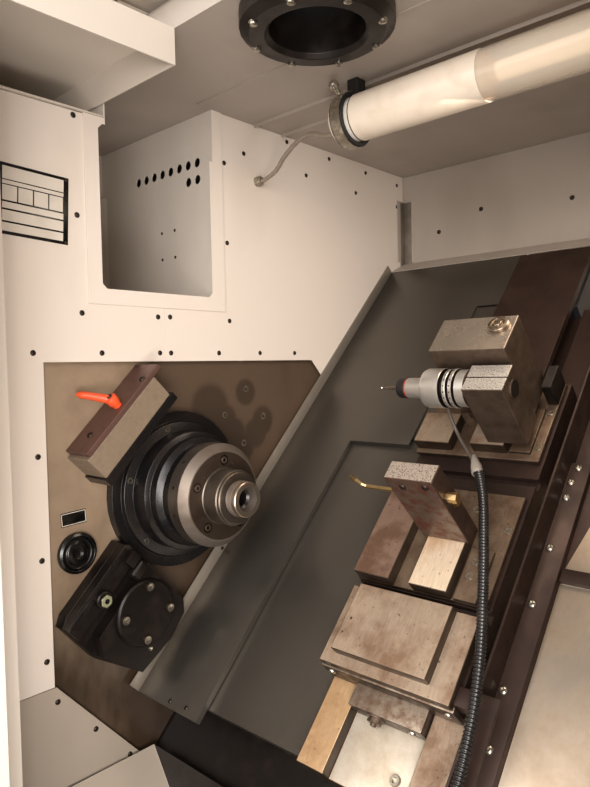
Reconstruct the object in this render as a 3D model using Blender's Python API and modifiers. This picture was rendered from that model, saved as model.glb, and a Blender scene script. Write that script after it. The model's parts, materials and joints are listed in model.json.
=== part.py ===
# A slant bed CNC turning lathe with gang tooling, seen with its door slid open.
# World frame: +X along the spindle to the right, +Y to the back, +Z up, metres.
import math

import bmesh
import bpy
from mathutils import Matrix, Vector

# Gap kept between pieces that touch
gap = 0.0003

# Overall envelope
machine_width = 1.745
front_face = -0.75
left_side = -machine_width / 2
right_side = machine_width / 2

# Headstock wall and spindle axis
left_compartment = 0.63
wall_x = left_side + left_compartment
spindle_y = -0.299
slant_angle = math.radians(45)
casting_recess = 0.010

# Heights; the base and the work chamber share what is under the ceiling
foot_height = 0.05
ceiling_z = 1.7225
base_share = 0.290276
base_top = ceiling_z * base_share
chamber_height = ceiling_z - base_top
spindle_share = 0.46626
spindle_z = base_top + chamber_height * spindle_share
roof_top = ceiling_z + 0.0375
shoulder_z = ceiling_z - 0.0675
collar_top = ceiling_z + 0.0975

# Enclosure planes
enclosure_front = -0.65
enclosure_rear = 0.44
rear_wall_y = 0.40
roof_front = -0.42
right_wall_x = right_side - 0.065
opening_left = wall_x + 0.1125
opening_right = right_side - 0.2925
sheet = 0.0025

# Sliding door, drawn open
door_front = -0.70
door_skin = 0.003
door_right = opening_left + 0.0735
door_width = 0.75
door_left = door_right - door_width
door_bottom = base_top + 0.02
tray_top = ceiling_z - 0.003
tray_lip = 0.0485
tray_rear = -0.424

# Bed layers, as heights n over the spindle axis, square to the slant
bed_top = -0.265
way_height = 0.028
way_top = bed_top + way_height
saddle_floor = -0.171
slide_way_top = -0.153
cover_top = -0.158
cover_sheet = 0.002
saddle_cover_top = -0.170
table_bottom = slide_way_top + gap
table_top = -0.117
pad_top = -0.090
bed_low_s = -0.34
bed_high_s = 0.62
way_centres_s = (-0.16, 0.38)
way_width = 0.08

# Saddle and cross slide, X measured from the headstock wall
saddle_left = 0.338
saddle_right = 0.545
saddle_low_s = -0.27
saddle_high_s = 0.56
slide_way_width = 0.043
table_left = 0.336
table_right = 0.534
table_low_s = -0.150
table_high_s = 0.350

# Ball screws
screw_radius = 0.010
screw_bore = screw_radius + gap
z_screw_s = 0.110
z_screw_n = bed_top + 0.0142
x_screw_x = 0.435
x_screw_n = -0.188

# Spindle
spindle_bore = 0.013
journal_radius = 0.045
bearing_radius = 0.065
flange_radius = 0.084
nose_radius = 0.0275
nose_tip = 0.1725
spindle_rear = -0.48
cover_radius = 0.130
casting_rear = -0.34

# Drive
belt_left = -0.458
belt_right = -0.412
spindle_pulley_radius = 0.080
motor_pulley_radius = 0.055
belt_thickness = 0.006
motor_s = 0.52
motor_n = -0.11
motor_radius = 0.090

# Tooling
coolant_block_x = (0.42, 0.49)
coolant_block_s = (0.041, 0.069)
coolant_block_top = 0.041
coolant_bore_s = 0.051
probe_s = 0.232
probe_clamp_x = (0.457, 0.517)
probe_clamp_top = 0.0225
probe_shank = 0.0125
probe_body_radius = 0.029
probe_tube_radius = 0.015
stylus_pivot_x = 0.345

# Lamp
lamp_y = -0.134
lamp_z = ceiling_z - 0.0675
lamp_radius = 0.035
lamp_left = wall_x + 0.23
lamp_right = right_side - 0.1325

# Duct
duct_centre = (wall_x + 0.3425, -0.318)
duct_flange_radius = 0.100
duct_bore = 0.062

# Recess box in the headstock wall
recess_y = (-0.438, -0.206)
recess_bottom = spindle_z + 0.317
recess_depth = 0.356

# Control housing and electrical cabinet
control_x = (right_side - 0.2575, right_side - 0.0075)
control_z = (base_top + 0.45, base_top + 0.95)
control_face = -0.715
cabinet_x = (right_side - 0.8225, right_side - 0.0225)
cabinet_z = (0.12, ceiling_z - 0.0225)
cabinet_rear = 0.72

for old in list(bpy.data.objects):
    bpy.data.objects.remove(old, do_unlink=True)

parts = bpy.data.collections.new("turning_lathe")
cutters = bpy.data.collections.new("cutters")
bpy.context.scene.collection.children.link(parts)
bpy.context.scene.collection.children.link(cutters)


def finish(name, rgb, roughness, metallic=0.0):
    material = bpy.data.materials.new(name)
    material.use_nodes = True
    shader = material.node_tree.nodes["Principled BSDF"]
    shader.inputs["Base Color"].default_value = (*rgb, 1.0)
    shader.inputs["Roughness"].default_value = roughness
    shader.inputs["Metallic"].default_value = metallic
    return material


powder_coat = finish("powder_coat", (0.72, 0.66, 0.58), 0.45)
khaki_paint = finish("khaki_paint", (0.30, 0.23, 0.15), 0.5)
cast_iron = finish("cast_iron", (0.12, 0.12, 0.12), 0.6, 0.6)
ground_steel = finish("ground_steel", (0.45, 0.42, 0.38), 0.3, 1.0)
oiled_steel = finish("oiled_steel", (0.32, 0.24, 0.18), 0.35, 1.0)
stainless = finish("stainless", (0.16, 0.16, 0.15), 0.35, 1.0)
black_oxide = finish("black_oxide", (0.015, 0.015, 0.017), 0.35, 0.3)
brown_plate = finish("brown_plate", (0.12, 0.07, 0.05), 0.4, 0.5)
orange_plastic = finish("orange_plastic", (0.80, 0.10, 0.02), 0.4)
red_plastic = finish("red_plastic", (0.60, 0.02, 0.02), 0.4)
green_plastic = finish("green_plastic", (0.03, 0.35, 0.08), 0.4)
brass = finish("brass", (0.70, 0.50, 0.20), 0.25, 1.0)
black_rubber = finish("black_rubber", (0.02, 0.02, 0.02), 0.7)
motor_paint = finish("motor_paint", (0.05, 0.05, 0.055), 0.5)
clear_sheet = finish("clear_sheet", (0.75, 0.80, 0.80), 0.1)
lamp_sleeve = finish("lamp_sleeve", (0.85, 0.83, 0.78), 0.3)


def empty(name, matrix):
    guide = bpy.data.objects.new(name, None)
    guide.matrix_world = matrix
    parts.objects.link(guide)
    return guide


world = empty("machine_frame", Matrix.Identity(4))
# The slant frame has X from the headstock wall, Y up the slope, Z square off it.
slant = empty(
    "slant_frame",
    Matrix.Translation((wall_x, spindle_y, spindle_z)) @ Matrix.Rotation(slant_angle, 4, "X"),
)


def slant_to_world(x, s, n):
    along = (s - n) * math.cos(slant_angle)
    up = (s + n) * math.sin(slant_angle)
    return Vector((wall_x + x, spindle_y + along, spindle_z + up))


def add(name, data, frame, material, matrix=None, collection=None):
    piece = bpy.data.objects.new(name, data)
    if material is not None:
        data.materials.append(material)
    (collection or parts).objects.link(piece)
    piece.parent = frame
    piece.matrix_local = matrix or Matrix.Identity(4)
    return piece


def bevel_edges(piece, width, segments=1):
    bevel = piece.modifiers.new("soft_edges", "BEVEL")
    bevel.width = width
    bevel.segments = segments
    bevel.limit_method = "ANGLE"
    bevel.angle_limit = math.radians(60)
    return piece


def box(name, low, high, material=None, frame=world, bevel=0.0, collection=None):
    centre = (Vector(low) + Vector(high)) / 2
    size = Vector(high) - Vector(low)
    mesh = bpy.data.meshes.new(name)
    shape = bmesh.new()
    bmesh.ops.create_cube(shape, size=1.0, matrix=Matrix.Diagonal((*size, 1.0)))
    shape.to_mesh(mesh)
    shape.free()
    piece = add(name, mesh, frame, material, Matrix.Translation(centre), collection)
    if bevel:
        bevel_edges(piece, bevel)
    return piece


def rod(name, start, end, radius, material=None, frame=world, sides=24, collection=None,
        end_radius=None):
    start = Vector(start)
    end = Vector(end)
    span = end - start
    mesh = bpy.data.meshes.new(name)
    shape = bmesh.new()
    bmesh.ops.create_cone(
        shape, cap_ends=True, segments=sides, radius1=radius,
        radius2=radius if end_radius is None else end_radius, depth=span.length,
    )
    shape.to_mesh(mesh)
    shape.free()
    mesh.shade_smooth()
    mesh.set_sharp_from_angle(angle=math.radians(40))
    turn = span.to_track_quat("Z", "Y").to_matrix().to_4x4()
    place = Matrix.Translation((start + end) / 2) @ turn
    return add(name, mesh, frame, material, place, collection)


def turned(name, profile, origin, axis, material, frame=world, steps=32, closed=False,
           collection=None):
    """Revolve a profile of (radius, height) points; it runs down its outer side."""
    mesh = bpy.data.meshes.new(name)
    points = [(radius, 0.0, height) for radius, height in profile]
    edges = [(i, i + 1) for i in range(len(points) - 1)]
    if closed:
        edges.append((len(points) - 1, 0))
    mesh.from_pydata(points, edges, [])
    turn = Vector(axis).to_track_quat("Z", "Y").to_matrix().to_4x4()
    piece = add(name, mesh, frame, material, Matrix.Translation(origin) @ turn, collection)
    screw = piece.modifiers.new("revolve", "SCREW")
    screw.steps = steps
    screw.render_steps = steps
    screw.use_merge_vertices = True
    screw.merge_threshold = 0.00001
    screw.use_smooth_shade = True
    return piece


def ring(name, outer, inner, low, high, origin, axis, material, frame=world, steps=32):
    profile = [(outer, high), (outer, low), (inner, low), (inner, high)]
    return turned(name, profile, origin, axis, material, frame, steps, closed=True)


axis_turns = {
    "X": Matrix(((0, 0, 1, 0), (1, 0, 0, 0), (0, 1, 0, 0), (0, 0, 0, 1))),
    "Y": Matrix(((1, 0, 0, 0), (0, 0, -1, 0), (0, 1, 0, 0), (0, 0, 0, 1))),
    "Z": Matrix.Identity(4),
}


def prism(name, outlines, low, high, along, material=None, frame=world, collection=None):
    """Extrude flat outlines from low to high; the inner ones are holes.

    Along X the outline is drawn in Y and Z, along Z in X and Y, along Y in X and Z.
    """
    curve = bpy.data.curves.new(name, "CURVE")
    curve.dimensions = "2D"
    curve.fill_mode = "BOTH"
    curve.extrude = (high - low) / 2
    for outline in outlines:
        spline = curve.splines.new("POLY")
        spline.points.add(len(outline) - 1)
        for point, place in zip(spline.points, outline):
            point.co = (place[0], place[1], 0.0, 1.0)
        spline.use_cyclic_u = True
    middle = (low + high) / 2
    if along == "Y":
        middle = -middle
    turn = axis_turns[along] @ Matrix.Translation((0, 0, middle))
    return add(name, curve, frame, material, turn, collection)


def as_mesh(piece):
    """Turn a curve object into a welded mesh object in the same place."""
    graph = bpy.context.evaluated_depsgraph_get()
    mesh = bpy.data.meshes.new_from_object(piece.evaluated_get(graph))
    weld = bmesh.new()
    weld.from_mesh(mesh)
    bmesh.ops.remove_doubles(weld, verts=weld.verts, dist=0.00001)
    weld.to_mesh(mesh)
    weld.free()
    name = piece.name
    home = piece.users_collection[0]
    frame = piece.parent
    matrix = piece.matrix_local.copy()
    bpy.data.objects.remove(piece, do_unlink=True)
    return add(name, mesh, frame, None, matrix, home)


def circle(x, y, radius, sides=16):
    turns = [2 * math.pi * i / sides for i in range(sides)]
    return [(x + radius * math.cos(t), y + radius * math.sin(t)) for t in turns]


def rectangle(low, high):
    return [(low[0], low[1]), (high[0], low[1]), (high[0], high[1]), (low[0], high[1])]


def combine(piece, tools, operation):
    for tool in tools:
        if tool.type == "CURVE":
            tool = as_mesh(tool)
        for home in tool.users_collection:
            home.objects.unlink(tool)
        cutters.objects.link(tool)
        tool.hide_render = True
        tool.display_type = "WIRE"
        join = piece.modifiers.new(tool.name, "BOOLEAN")
        join.operation = operation
        join.solver = "EXACT"
        join.object = tool
    return piece


def cut(piece, *tools):
    return combine(piece, tools, "DIFFERENCE")


def fuse(piece, *tools):
    return combine(piece, tools, "UNION")


def tube(name, points, radius, material, frame=world, radii=None, resolution=2):
    curve = bpy.data.curves.new(name, "CURVE")
    curve.dimensions = "3D"
    curve.bevel_depth = radius
    curve.bevel_resolution = resolution
    curve.use_fill_caps = True
    spline = curve.splines.new("POLY")
    spline.points.add(len(points) - 1)
    for i, place in enumerate(points):
        spline.points[i].co = (*place, 1.0)
        spline.points[i].radius = radii[i] / radius if radii else 1.0
    return add(name, curve, frame, material)


def smooth_route(points, steps):
    """Read a smooth curve through the points, with the given steps between each two."""
    route = []
    last = len(points) - 1
    for i in range(last):
        before = points[max(i - 1, 0)]
        here = points[i]
        there = points[i + 1]
        after = points[min(i + 2, last)]
        for step in range(steps):
            t = step / steps
            route.append(tuple(
                0.5 * (2 * b + (c - a) * t + (2 * a - 5 * b + 4 * c - d) * t * t
                       + (3 * b - a - 3 * c + d) * t ** 3)
                for a, b, c, d in zip(before, here, there, after)
            ))
    route.append(tuple(points[last]))
    return route


def slant_point(s, n):
    """A point of the slant frame, drawn in world Y and Z."""
    place = slant_to_world(0, s, n)
    return (place.y, place.z)


# Base, tank and chip chute

bay_left = wall_x + 0.0825
bay_right = right_side - 0.0725
bay_rear = 0.38
bay_top = base_top * 0.88
runner_width = 0.06
runner_top = 0.075
chute_hole = ((bay_left + 0.02, -0.62), (bay_right - 0.02, -0.36))
sill_front = -0.69
sill_top = base_top + 0.045
tank_wall = 0.004
tank_top = base_top * 0.66
pump_x = bay_right - 0.20
pump_y = 0.26


def make_base():
    base = box("machine_base", (left_side, -0.66, foot_height), (right_side, enclosure_rear, base_top),
               powder_coat)
    sill = box("door_sill", (left_side, sill_front, base_top - 0.02), (right_side, -0.652, sill_top))
    bay = box("tank_bay", (bay_left, -0.80, runner_top), (bay_right, bay_rear, bay_top))
    slot = box("bay_floor_slot", (bay_left + runner_width, -0.80, 0.0),
               (bay_right - runner_width, bay_rear, runner_top + 0.001))
    hole = box("chute_hole_cut", (*chute_hole[0], bay_top - 0.01), (*chute_hole[1], base_top + 0.01))
    fuse(base, sill)
    cut(base, bay, slot, hole)
    feet_x = (left_side + 0.07, wall_x - 0.0075, right_side - 0.04)
    feet_y = (-0.60, enclosure_rear - 0.07)
    feet = [
        rod(f"levelling_foot_{i}_{j}", (x, y, 0.0), (x, y, foot_height + 0.004), 0.035, sides=16)
        for i, x in enumerate(feet_x) for j, y in enumerate(feet_y)
    ]
    fuse(base, *feet)


def make_tank():
    low = Vector((bay_left + 0.02, -0.645, runner_top + gap))
    high = Vector((bay_right - 0.02, bay_rear - 0.02, tank_top))
    wall = Vector((tank_wall, tank_wall, tank_wall))
    tank = box("coolant_tank", low, high, stainless)
    inner_high = Vector((high.x - tank_wall, 0.16, tank_top + 0.01))
    under_deck = box("tank_under_deck", (low.x + tank_wall, 0.10, low.z + tank_wall),
                     (high.x - tank_wall, high.y - tank_wall, tank_top - tank_wall))
    cut(tank, box("tank_inside", low + wall, inner_high), under_deck,
        rod("pump_hole", (pump_x, pump_y, tank_top - 0.1), (pump_x, pump_y, tank_top + 0.1), 0.038,
            sides=16))
    seat = tank_top + gap
    intake = runner_top + 0.045
    turned(
        "coolant_pump",
        [(0, bay_top - 0.005), (0.050, bay_top - 0.005), (0.055, bay_top - 0.010),
         (0.055, tank_top + 0.015), (0.062, tank_top + 0.015), (0.062, seat), (0.032, seat),
         (0.032, intake), (0, intake)],
        (pump_x, pump_y, 0), (0, 0, 1), motor_paint, steps=20,
    )


def make_chute():
    mesh = bpy.data.meshes.new("chip_chute")
    shape = bmesh.new()
    bmesh.ops.create_cube(shape, size=1.0)
    bottom = ((chute_hole[0][0] - 0.004, chute_hole[0][1] - 0.004),
              (chute_hole[1][0] + 0.004, chute_hole[1][1] + 0.004))
    top = ((wall_x + 0.006, -0.626), (right_wall_x - 0.004, -0.365))
    for corner in shape.verts:
        level = top if corner.co.z > 0 else bottom
        x = level[1][0] if corner.co.x > 0 else level[0][0]
        y = level[1][1] if corner.co.y > 0 else level[0][1]
        z = base_top + 0.16 if corner.co.z > 0 else base_top + gap
        corner.co = (x, y, z)
    ends = [face for face in shape.faces if abs(face.normal.z) > 0.99]
    bmesh.ops.delete(shape, geom=ends, context="FACES_ONLY")
    shape.to_mesh(mesh)
    shape.free()
    chute = add("chip_chute", mesh, world, stainless)
    wall = chute.modifiers.new("sheet", "SOLIDIFY")
    wall.thickness = 0.002
    wall.offset = -1.0
    wall.use_even_offset = True


# Castings

bed_left = wall_x - 0.3575
bed_right = right_side - 0.2525
bed_end = bed_right - wall_x
screw_left_x = 0.1625
headstock_underside = bed_top + gap
headstock_high_s = way_centres_s[1] - way_width / 2 - 0.005


def way_points(underside, clearance):
    """The stepped line over the lower way, as slant frame points."""
    half = way_width / 2 + clearance
    low = way_centres_s[0] - half
    high = way_centres_s[0] + half
    rise = way_top + clearance
    return [(low, underside), (low, rise), (high, rise), (high, underside)]


def make_bed():
    top = [(bed_low_s, bed_top)]
    for centre in way_centres_s:
        half = way_width / 2
        top += [(centre - half, bed_top), (centre - half, way_top),
                (centre + half, way_top), (centre + half, bed_top)]
    top.append((bed_high_s, bed_top))
    outline = [slant_point(s, n) for s, n in top]
    rear = slant_point(bed_high_s, bed_top - 0.057)
    step_z = base_top + chamber_height * 0.0818
    outline += [rear, (rear[0], base_top + gap), (-0.31, base_top + gap), (-0.31, step_z)]
    cores = [circle(0.22, spindle_z - 0.04, 0.075), circle(0.20, spindle_z - 0.29, 0.075),
             circle(-0.06, base_top + 0.16, 0.070)]
    bed = as_mesh(prism("bed_casting", [outline, *cores], bed_left, bed_right, "X", cast_iron))
    for i, x in enumerate((screw_left_x, bed_end - 0.0365)):
        pedestal = box(f"screw_pedestal_{i}", (x, z_screw_s - 0.03, bed_top - 0.01),
                       (x + 0.03, z_screw_s + 0.03, way_top - 0.0015), frame=slant)
        fuse(bed, pedestal)
    cut(bed, rod("z_screw_hole", (0.15, z_screw_s, z_screw_n), (bed_end + 0.04, z_screw_s, z_screw_n),
                 screw_bore, frame=slant, sides=16))


def make_headstock():
    seat = [(bed_low_s, headstock_underside), *way_points(headstock_underside, gap),
            (headstock_high_s, headstock_underside)]
    foot_z = base_top + 0.09
    top_z = spindle_z + 0.24
    outline = [(-0.56, foot_z), (-0.36, foot_z)]
    seat.append((headstock_high_s, way_top + 0.012))
    outline += [slant_point(s, n) for s, n in seat]
    outline += [(0.0975, top_z - 0.06), (0.045, top_z), (-0.56, top_z)]
    bore = circle(spindle_y, spindle_z, bearing_radius + gap, 32)
    prism("headstock_casting", [outline, bore], wall_x + casting_rear, wall_x - casting_recess, "X",
          khaki_paint)


def make_bearings():
    for name, low, high in (("front_bearing", -0.065, -0.025), ("rear_bearing", -0.325, -0.29)):
        ring(name, bearing_radius, journal_radius + gap, low, high, (0, 0, 0), (1, 0, 0),
             ground_steel, slant)


# Spindle and its drive

def make_spindle():
    turned(
        "spindle",
        [(0.0185, nose_tip), (nose_radius - 0.001, nose_tip), (nose_radius, nose_tip - 0.001),
         (nose_radius, 0.150), (0.036, 0.150), (0.037, 0.147), (0.044, 0.147), (0.046, 0.145),
         (0.046, 0.118), (0.072, 0.118), (flange_radius, 0.106), (flange_radius, 0.0815),
         (journal_radius, 0.0815), (journal_radius, spindle_rear), (spindle_bore, spindle_rear),
         (spindle_bore, 0.155)],
        (0, 0, 0), (1, 0, 0), ground_steel, slant, 40, closed=True,
    )


def make_spindle_cover():
    seat = -casting_recess + gap
    cover = turned(
        "spindle_cover",
        [(0.0785, 0.0785), (0.0785, 0.066), (0.088, 0.060), (0.088, 0.046), (0.097, 0.044),
         (0.097, 0.014), (0.112, 0.012), (0.114, 0.006), (cover_radius, 0.006), (cover_radius, seat),
         (0.052, seat), (0.052, 0.0785)],
        (0, 0, 0), (1, 0, 0), black_oxide, slant, 40, closed=True,
    )
    channel = box("cover_channel", (seat, -0.089, channel_n[0]), (clamp_face_x, 0.086, channel_n[1]),
                  frame=slant)
    web = box("channel_web", (seat, -0.060, 0.110), (0.006, 0.060, channel_n[1] - 0.002), frame=slant)
    fuse(cover, channel, web)


def grooved_rim(radius, bore, low, high, grooves, depth):
    """A pulley profile with wedge grooves, run down its outer side."""
    land = (high - low) / (grooves * 2 + 1)
    profile = [(bore, high), (radius, high)]
    for i in range(grooves):
        top = high - land * (2 * i + 1)
        profile += [(radius, top), (radius - depth, top - land * 0.5), (radius, top - land)]
    profile += [(radius, low), (bore, low)]
    return profile


def make_pulleys():
    face = (belt_left - 0.004, belt_right + 0.004)
    turned("spindle_pulley",
           grooved_rim(spindle_pulley_radius, journal_radius + gap, *face, 4, 0.005),
           (0, 0, 0), (1, 0, 0), cast_iron, slant, 28, closed=True)
    rim = grooved_rim(motor_pulley_radius, 0, *face, 4, 0.005)
    shaft_end = -0.36
    rim[0:1] = [(0, shaft_end), (0.019, shaft_end), (0.019, face[1])]
    turned("motor_pulley", rim, (0, motor_s, motor_n), (1, 0, 0), cast_iron, slant, 24)


def belt_line(radius_a, radius_b, arc_steps=14):
    """The outline round both pulleys, in slant frame s and n."""
    distance = math.hypot(motor_s, motor_n)
    bearing = math.atan2(motor_n, motor_s)
    lean = math.acos((radius_a - radius_b) / distance)
    line = []
    for step in range(arc_steps + 1):
        turn = bearing + lean + step * (2 * math.pi - 2 * lean) / arc_steps
        line.append((radius_a * math.cos(turn), radius_a * math.sin(turn)))
    for step in range(arc_steps + 1):
        turn = bearing - lean + step * 2 * lean / arc_steps
        line.append((motor_s + radius_b * math.cos(turn), motor_n + radius_b * math.sin(turn)))
    return line


def make_belt():
    inner = belt_line(spindle_pulley_radius + 0.0006, motor_pulley_radius + 0.0006)
    outer = belt_line(spindle_pulley_radius + belt_thickness, motor_pulley_radius + belt_thickness)
    prism("drive_belt", [outer, inner], belt_left, belt_right, "X", black_rubber, slant)


def make_spindle_motor():
    left = -0.395
    motor = turned(
        "spindle_motor",
        [(0, -0.13), (0.070, -0.13), (motor_radius - 0.008, -0.142), (motor_radius - 0.008, -0.175),
         (motor_radius, -0.178), (motor_radius, -0.375), (0.06, -0.378), (0.05, left), (0, left)],
        (0, motor_s, motor_n), (1, 0, 0), motor_paint, slant, 24,
    )
    foot = box("motor_foot", (-0.36, 0.432, bed_top + gap), (-0.18, 0.608, motor_n - 0.05), frame=slant)
    terminal = box("motor_terminal_box", (-0.33, 0.47, motor_n + 0.07), (-0.21, 0.57, motor_n + 0.125),
                   frame=slant)
    fuse(motor, foot, terminal)
    cut(motor, rod("motor_shaft_bore", (left - 0.01, motor_s, motor_n), (-0.358, motor_s, motor_n),
                   0.019 + gap, frame=slant, sides=24))


# Headstock face fittings

clamp_face_x = 0.050
channel_n = (0.1315, 0.1455)
clamp_block_top = 0.1877
clamp_bar_top = 0.1965
lever_x = 0.034
lever_s = 0.010
lever_tip = (0.002, -0.011, 0.2465)


def make_clamp():
    seat = -casting_recess + gap
    box("clamp_block", (seat, -0.086, channel_n[1] + gap), (clamp_face_x, 0.080, clamp_block_top),
        khaki_paint, slant, 0.0015)
    box("clamp_bar", (seat, -0.080, clamp_block_top + gap), (clamp_face_x + 0.001, 0.098, clamp_bar_top),
        brown_plate, slant, 0.001)
    hub_height = 0.020
    lever = turned(
        "clamp_lever",
        [(0, hub_height), (0.0070, hub_height), (0.0090, hub_height - 0.002), (0.0090, 0.010),
         (0.0065, 0.002), (0.0065, 0), (0, 0)],
        (lever_x, lever_s, clamp_bar_top + gap), (0, 0, 1), orange_plastic, slant, 16,
    )
    root = Vector((lever_x, lever_s, clamp_bar_top + 0.013))
    tip = Vector(lever_tip)
    reach = (tip - root).normalized()
    arm = rod("lever_arm", root + reach * 0.003, tip, 0.0062, frame=slant, sides=10, end_radius=0.0045)
    fuse(lever, arm)


def make_cap():
    seat = -casting_recess + gap
    turned(
        "sealing_cap",
        [(0, seat + 0.004), (0.006, seat + 0.004), (0.0075, seat + 0.0065), (0.016, seat + 0.0065),
         (0.018, seat + 0.004), (0.023, seat + 0.004), (0.026, seat + 0.010), (0.031, seat + 0.007),
         (0.031, seat), (0, seat)],
        (0, -0.1807, 0.0789), (1, 0, 0), black_rubber, slant, 28,
    )


bracket_body_x = 0.012
bracket_rib_x = 0.030
bracket_plate_x = 0.036
bracket_face_x = 0.044
bracket_disc_s = -0.1935
bracket_disc_n = -0.0560


def make_lower_bracket():
    seat = -casting_recess + gap
    outline = [(-0.262, 0.041), (-0.278, 0.034), (-0.284, -0.044), (-0.266, -0.118), (-0.197, -0.132),
               (-0.155, -0.127), (-0.1385, -0.110), (-0.1345, -0.006), (-0.1290, 0.034), (-0.134, 0.041)]
    bracket = as_mesh(prism("lower_bracket", [outline], seat, bracket_body_x, "X", black_oxide, slant))
    rib = [(-0.262, 0.0405), (-0.277, 0.0335), (-0.279, 0.010), (-0.1325, 0.010), (-0.1300, 0.0335),
           (-0.1345, 0.0405)]
    left_rib = prism("bracket_rib", [rib], bracket_body_x - 0.004, bracket_rib_x, "X", frame=slant)
    carrier = [(-0.262, -0.012), (-0.280, -0.044), (-0.264, -0.117), (-0.197, -0.131),
               (-0.155, -0.126), (-0.1395, -0.109), (-0.1355, -0.012)]
    plate = prism("bracket_plate", [carrier], bracket_body_x - 0.004, bracket_plate_x, "X", frame=slant)
    lug = box("bracket_lug", (bracket_body_x - 0.004, -0.166, -0.009), (bracket_face_x, -0.137, 0.008),
              frame=slant, bevel=0.003)
    turned(
        "bracket_disc",
        [(0, bracket_face_x), (0.049, bracket_face_x), (0.052, bracket_face_x - 0.003),
         (0.052, bracket_plate_x + gap), (0, bracket_plate_x + gap)],
        (0, bracket_disc_s, bracket_disc_n), (1, 0, 0), black_oxide, slant, 32,
    )
    fuse(bracket, left_rib, plate, lug)


# Headstock wall, recess and rear wall

hex_left = -0.528
hex_top = spindle_z + 0.213
lower_seam_z = spindle_z - 0.258
rear_wall_low = spindle_z + 0.444
trim_low = rear_wall_low + 0.0025
panel_seam_y = -0.316
panel_edge_y = -0.342


def make_wall_panels():
    inside = wall_x - cover_sheet
    front_edge = enclosure_front + sheet + gap
    recess_left = recess_y[0] - 0.0025
    recess_right = recess_y[1] + 0.0025
    recess_low = recess_bottom - 0.0025
    ceiling = ceiling_z - gap
    rear_edge = rear_wall_y - gap
    above = lower_seam_z + 0.0005
    below = lower_seam_z - 0.0005
    front = [(front_edge, above), (front_edge, shoulder_z - 0.004), (recess_left, shoulder_z - 0.004),
             (recess_left, recess_low), (panel_seam_y - gap, recess_low),
             (panel_seam_y - gap, hex_top), (hex_left, hex_top), (hex_left, above)]
    prism("wall_panel_front", [front], inside, wall_x, "X", powder_coat)
    slope_low = slant_point(0.335, cover_top - 0.012)
    slope_high = slant_point(0.745, cover_top - 0.012)
    rear = [(panel_seam_y, hex_top), (panel_seam_y, recess_low), (recess_right, recess_low),
            (recess_right, ceiling), (rear_edge, ceiling), (rear_edge, trim_low), slope_high, slope_low,
            (0.0955, spindle_z + 0.1665), (0.0523, hex_top)]
    prism("wall_panel_rear", [rear], inside, wall_x, "X", powder_coat)
    lower = [(front_edge, base_top + gap), (front_edge, below), (-0.5253, below),
             (panel_edge_y - 0.0035, base_top + 0.1056), (panel_edge_y, base_top + gap)]
    prism("wall_panel_lower", [lower], inside, wall_x, "X", powder_coat)


def make_recess():
    """A deep pocket; its front strip stays under the sliding door's tray."""
    back = wall_x - recess_depth
    mouth = wall_x + 0.0015
    wall = cover_sheet
    step_y = roof_front - gap
    top = ceiling_z - gap
    step_z = shoulder_z - 0.003
    shell = box("recess_box", (back, recess_y[0] - wall, recess_bottom - wall),
                (mouth, recess_y[1] + wall, step_z), powder_coat)
    upper = box("recess_upper", (back, step_y, step_z - 0.01), (mouth, recess_y[1] + wall, top))
    rim_low = recess_bottom - 0.0164
    rim_front = recess_y[0] - 0.0164
    rim_rear = recess_y[1] + 0.0225
    frame_outline = [(rim_front, rim_low), (rim_rear, rim_low), (rim_rear, top), (step_y, top),
                     (step_y, step_z), (rim_front, step_z)]
    rim = prism("recess_rim", [frame_outline], wall_x + gap, wall_x + 0.0025, "X")
    inside = box("recess_inside", (back + wall, recess_y[0], recess_bottom),
                 (wall_x + 0.01, recess_y[1], step_z - wall), bevel=0.015)
    upper_inside = box("recess_upper_inside", (back + wall, step_y + wall, step_z - 0.02),
                       (wall_x + 0.01, recess_y[1], ceiling_z + 0.01))
    fuse(shell, upper, rim)
    cut(shell, inside, upper_inside)
    vents = []
    for row, count in ((0, 8), (1, 2)):
        for i in range(count):
            x = wall_x - 0.040 - 0.026 * i
            z = shoulder_z - 0.015 - 0.030 * row
            vents.append(rod(f"vent_{row}_{i}", (x, recess_y[1] - 0.01, z), (x, recess_y[1] + 0.01, z),
                             0.0085, sides=10))
    cut(shell, *vents)


def make_rear_wall():
    back = rear_wall_y + cover_sheet
    lip_y = rear_wall_y - 0.0538
    outline = [(rear_wall_y, ceiling_z - gap), (rear_wall_y, rear_wall_low),
               (lip_y, rear_wall_low - 0.0232), (lip_y + 0.0008, rear_wall_low - 0.025),
               (back, rear_wall_low - 0.002), (back, ceiling_z - gap)]
    panel = as_mesh(prism("rear_wall_panel", [outline], wall_x + gap, right_wall_x - gap, "X", powder_coat))
    trim_high = ceiling_z - 0.0595
    trim = box("corner_trim", (wall_x + gap, rear_wall_y - 0.028, trim_low),
               (wall_x + 0.0023, rear_wall_y + 0.001, trim_high))
    leg = box("corner_trim_leg", (wall_x + gap, rear_wall_y - 0.002, trim_low),
              (wall_x + 0.028, rear_wall_y + 0.001, trim_high))
    fuse(panel, trim, leg)


# Roof, duct and lamp

def make_roof():
    roof = box("roof_panel", (left_side, roof_front, ceiling_z), (right_side, enclosure_rear, roof_top),
               powder_coat)
    rail = box("door_rail", (left_side, -0.412, roof_top - 0.005), (right_side, -0.397, roof_top + 0.010))
    hanger = box("lamp_bracket", (lamp_right + gap, lamp_y - 0.03, lamp_z - 0.03),
                 (lamp_right + 0.006, lamp_y + 0.03, ceiling_z + 0.005))
    fuse(roof, rail, hanger)
    slot = box("lamp_slot", (lamp_left - 0.02, -0.100, ceiling_z - 0.01),
               (lamp_right + 0.04, -0.03, ceiling_z + 0.022))
    bore = rod("duct_hole", (*duct_centre, ceiling_z - 0.1), (*duct_centre, collar_top),
               duct_bore + 0.004 + 2 * gap, sides=32)
    cut(roof, slot, bore)


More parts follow.
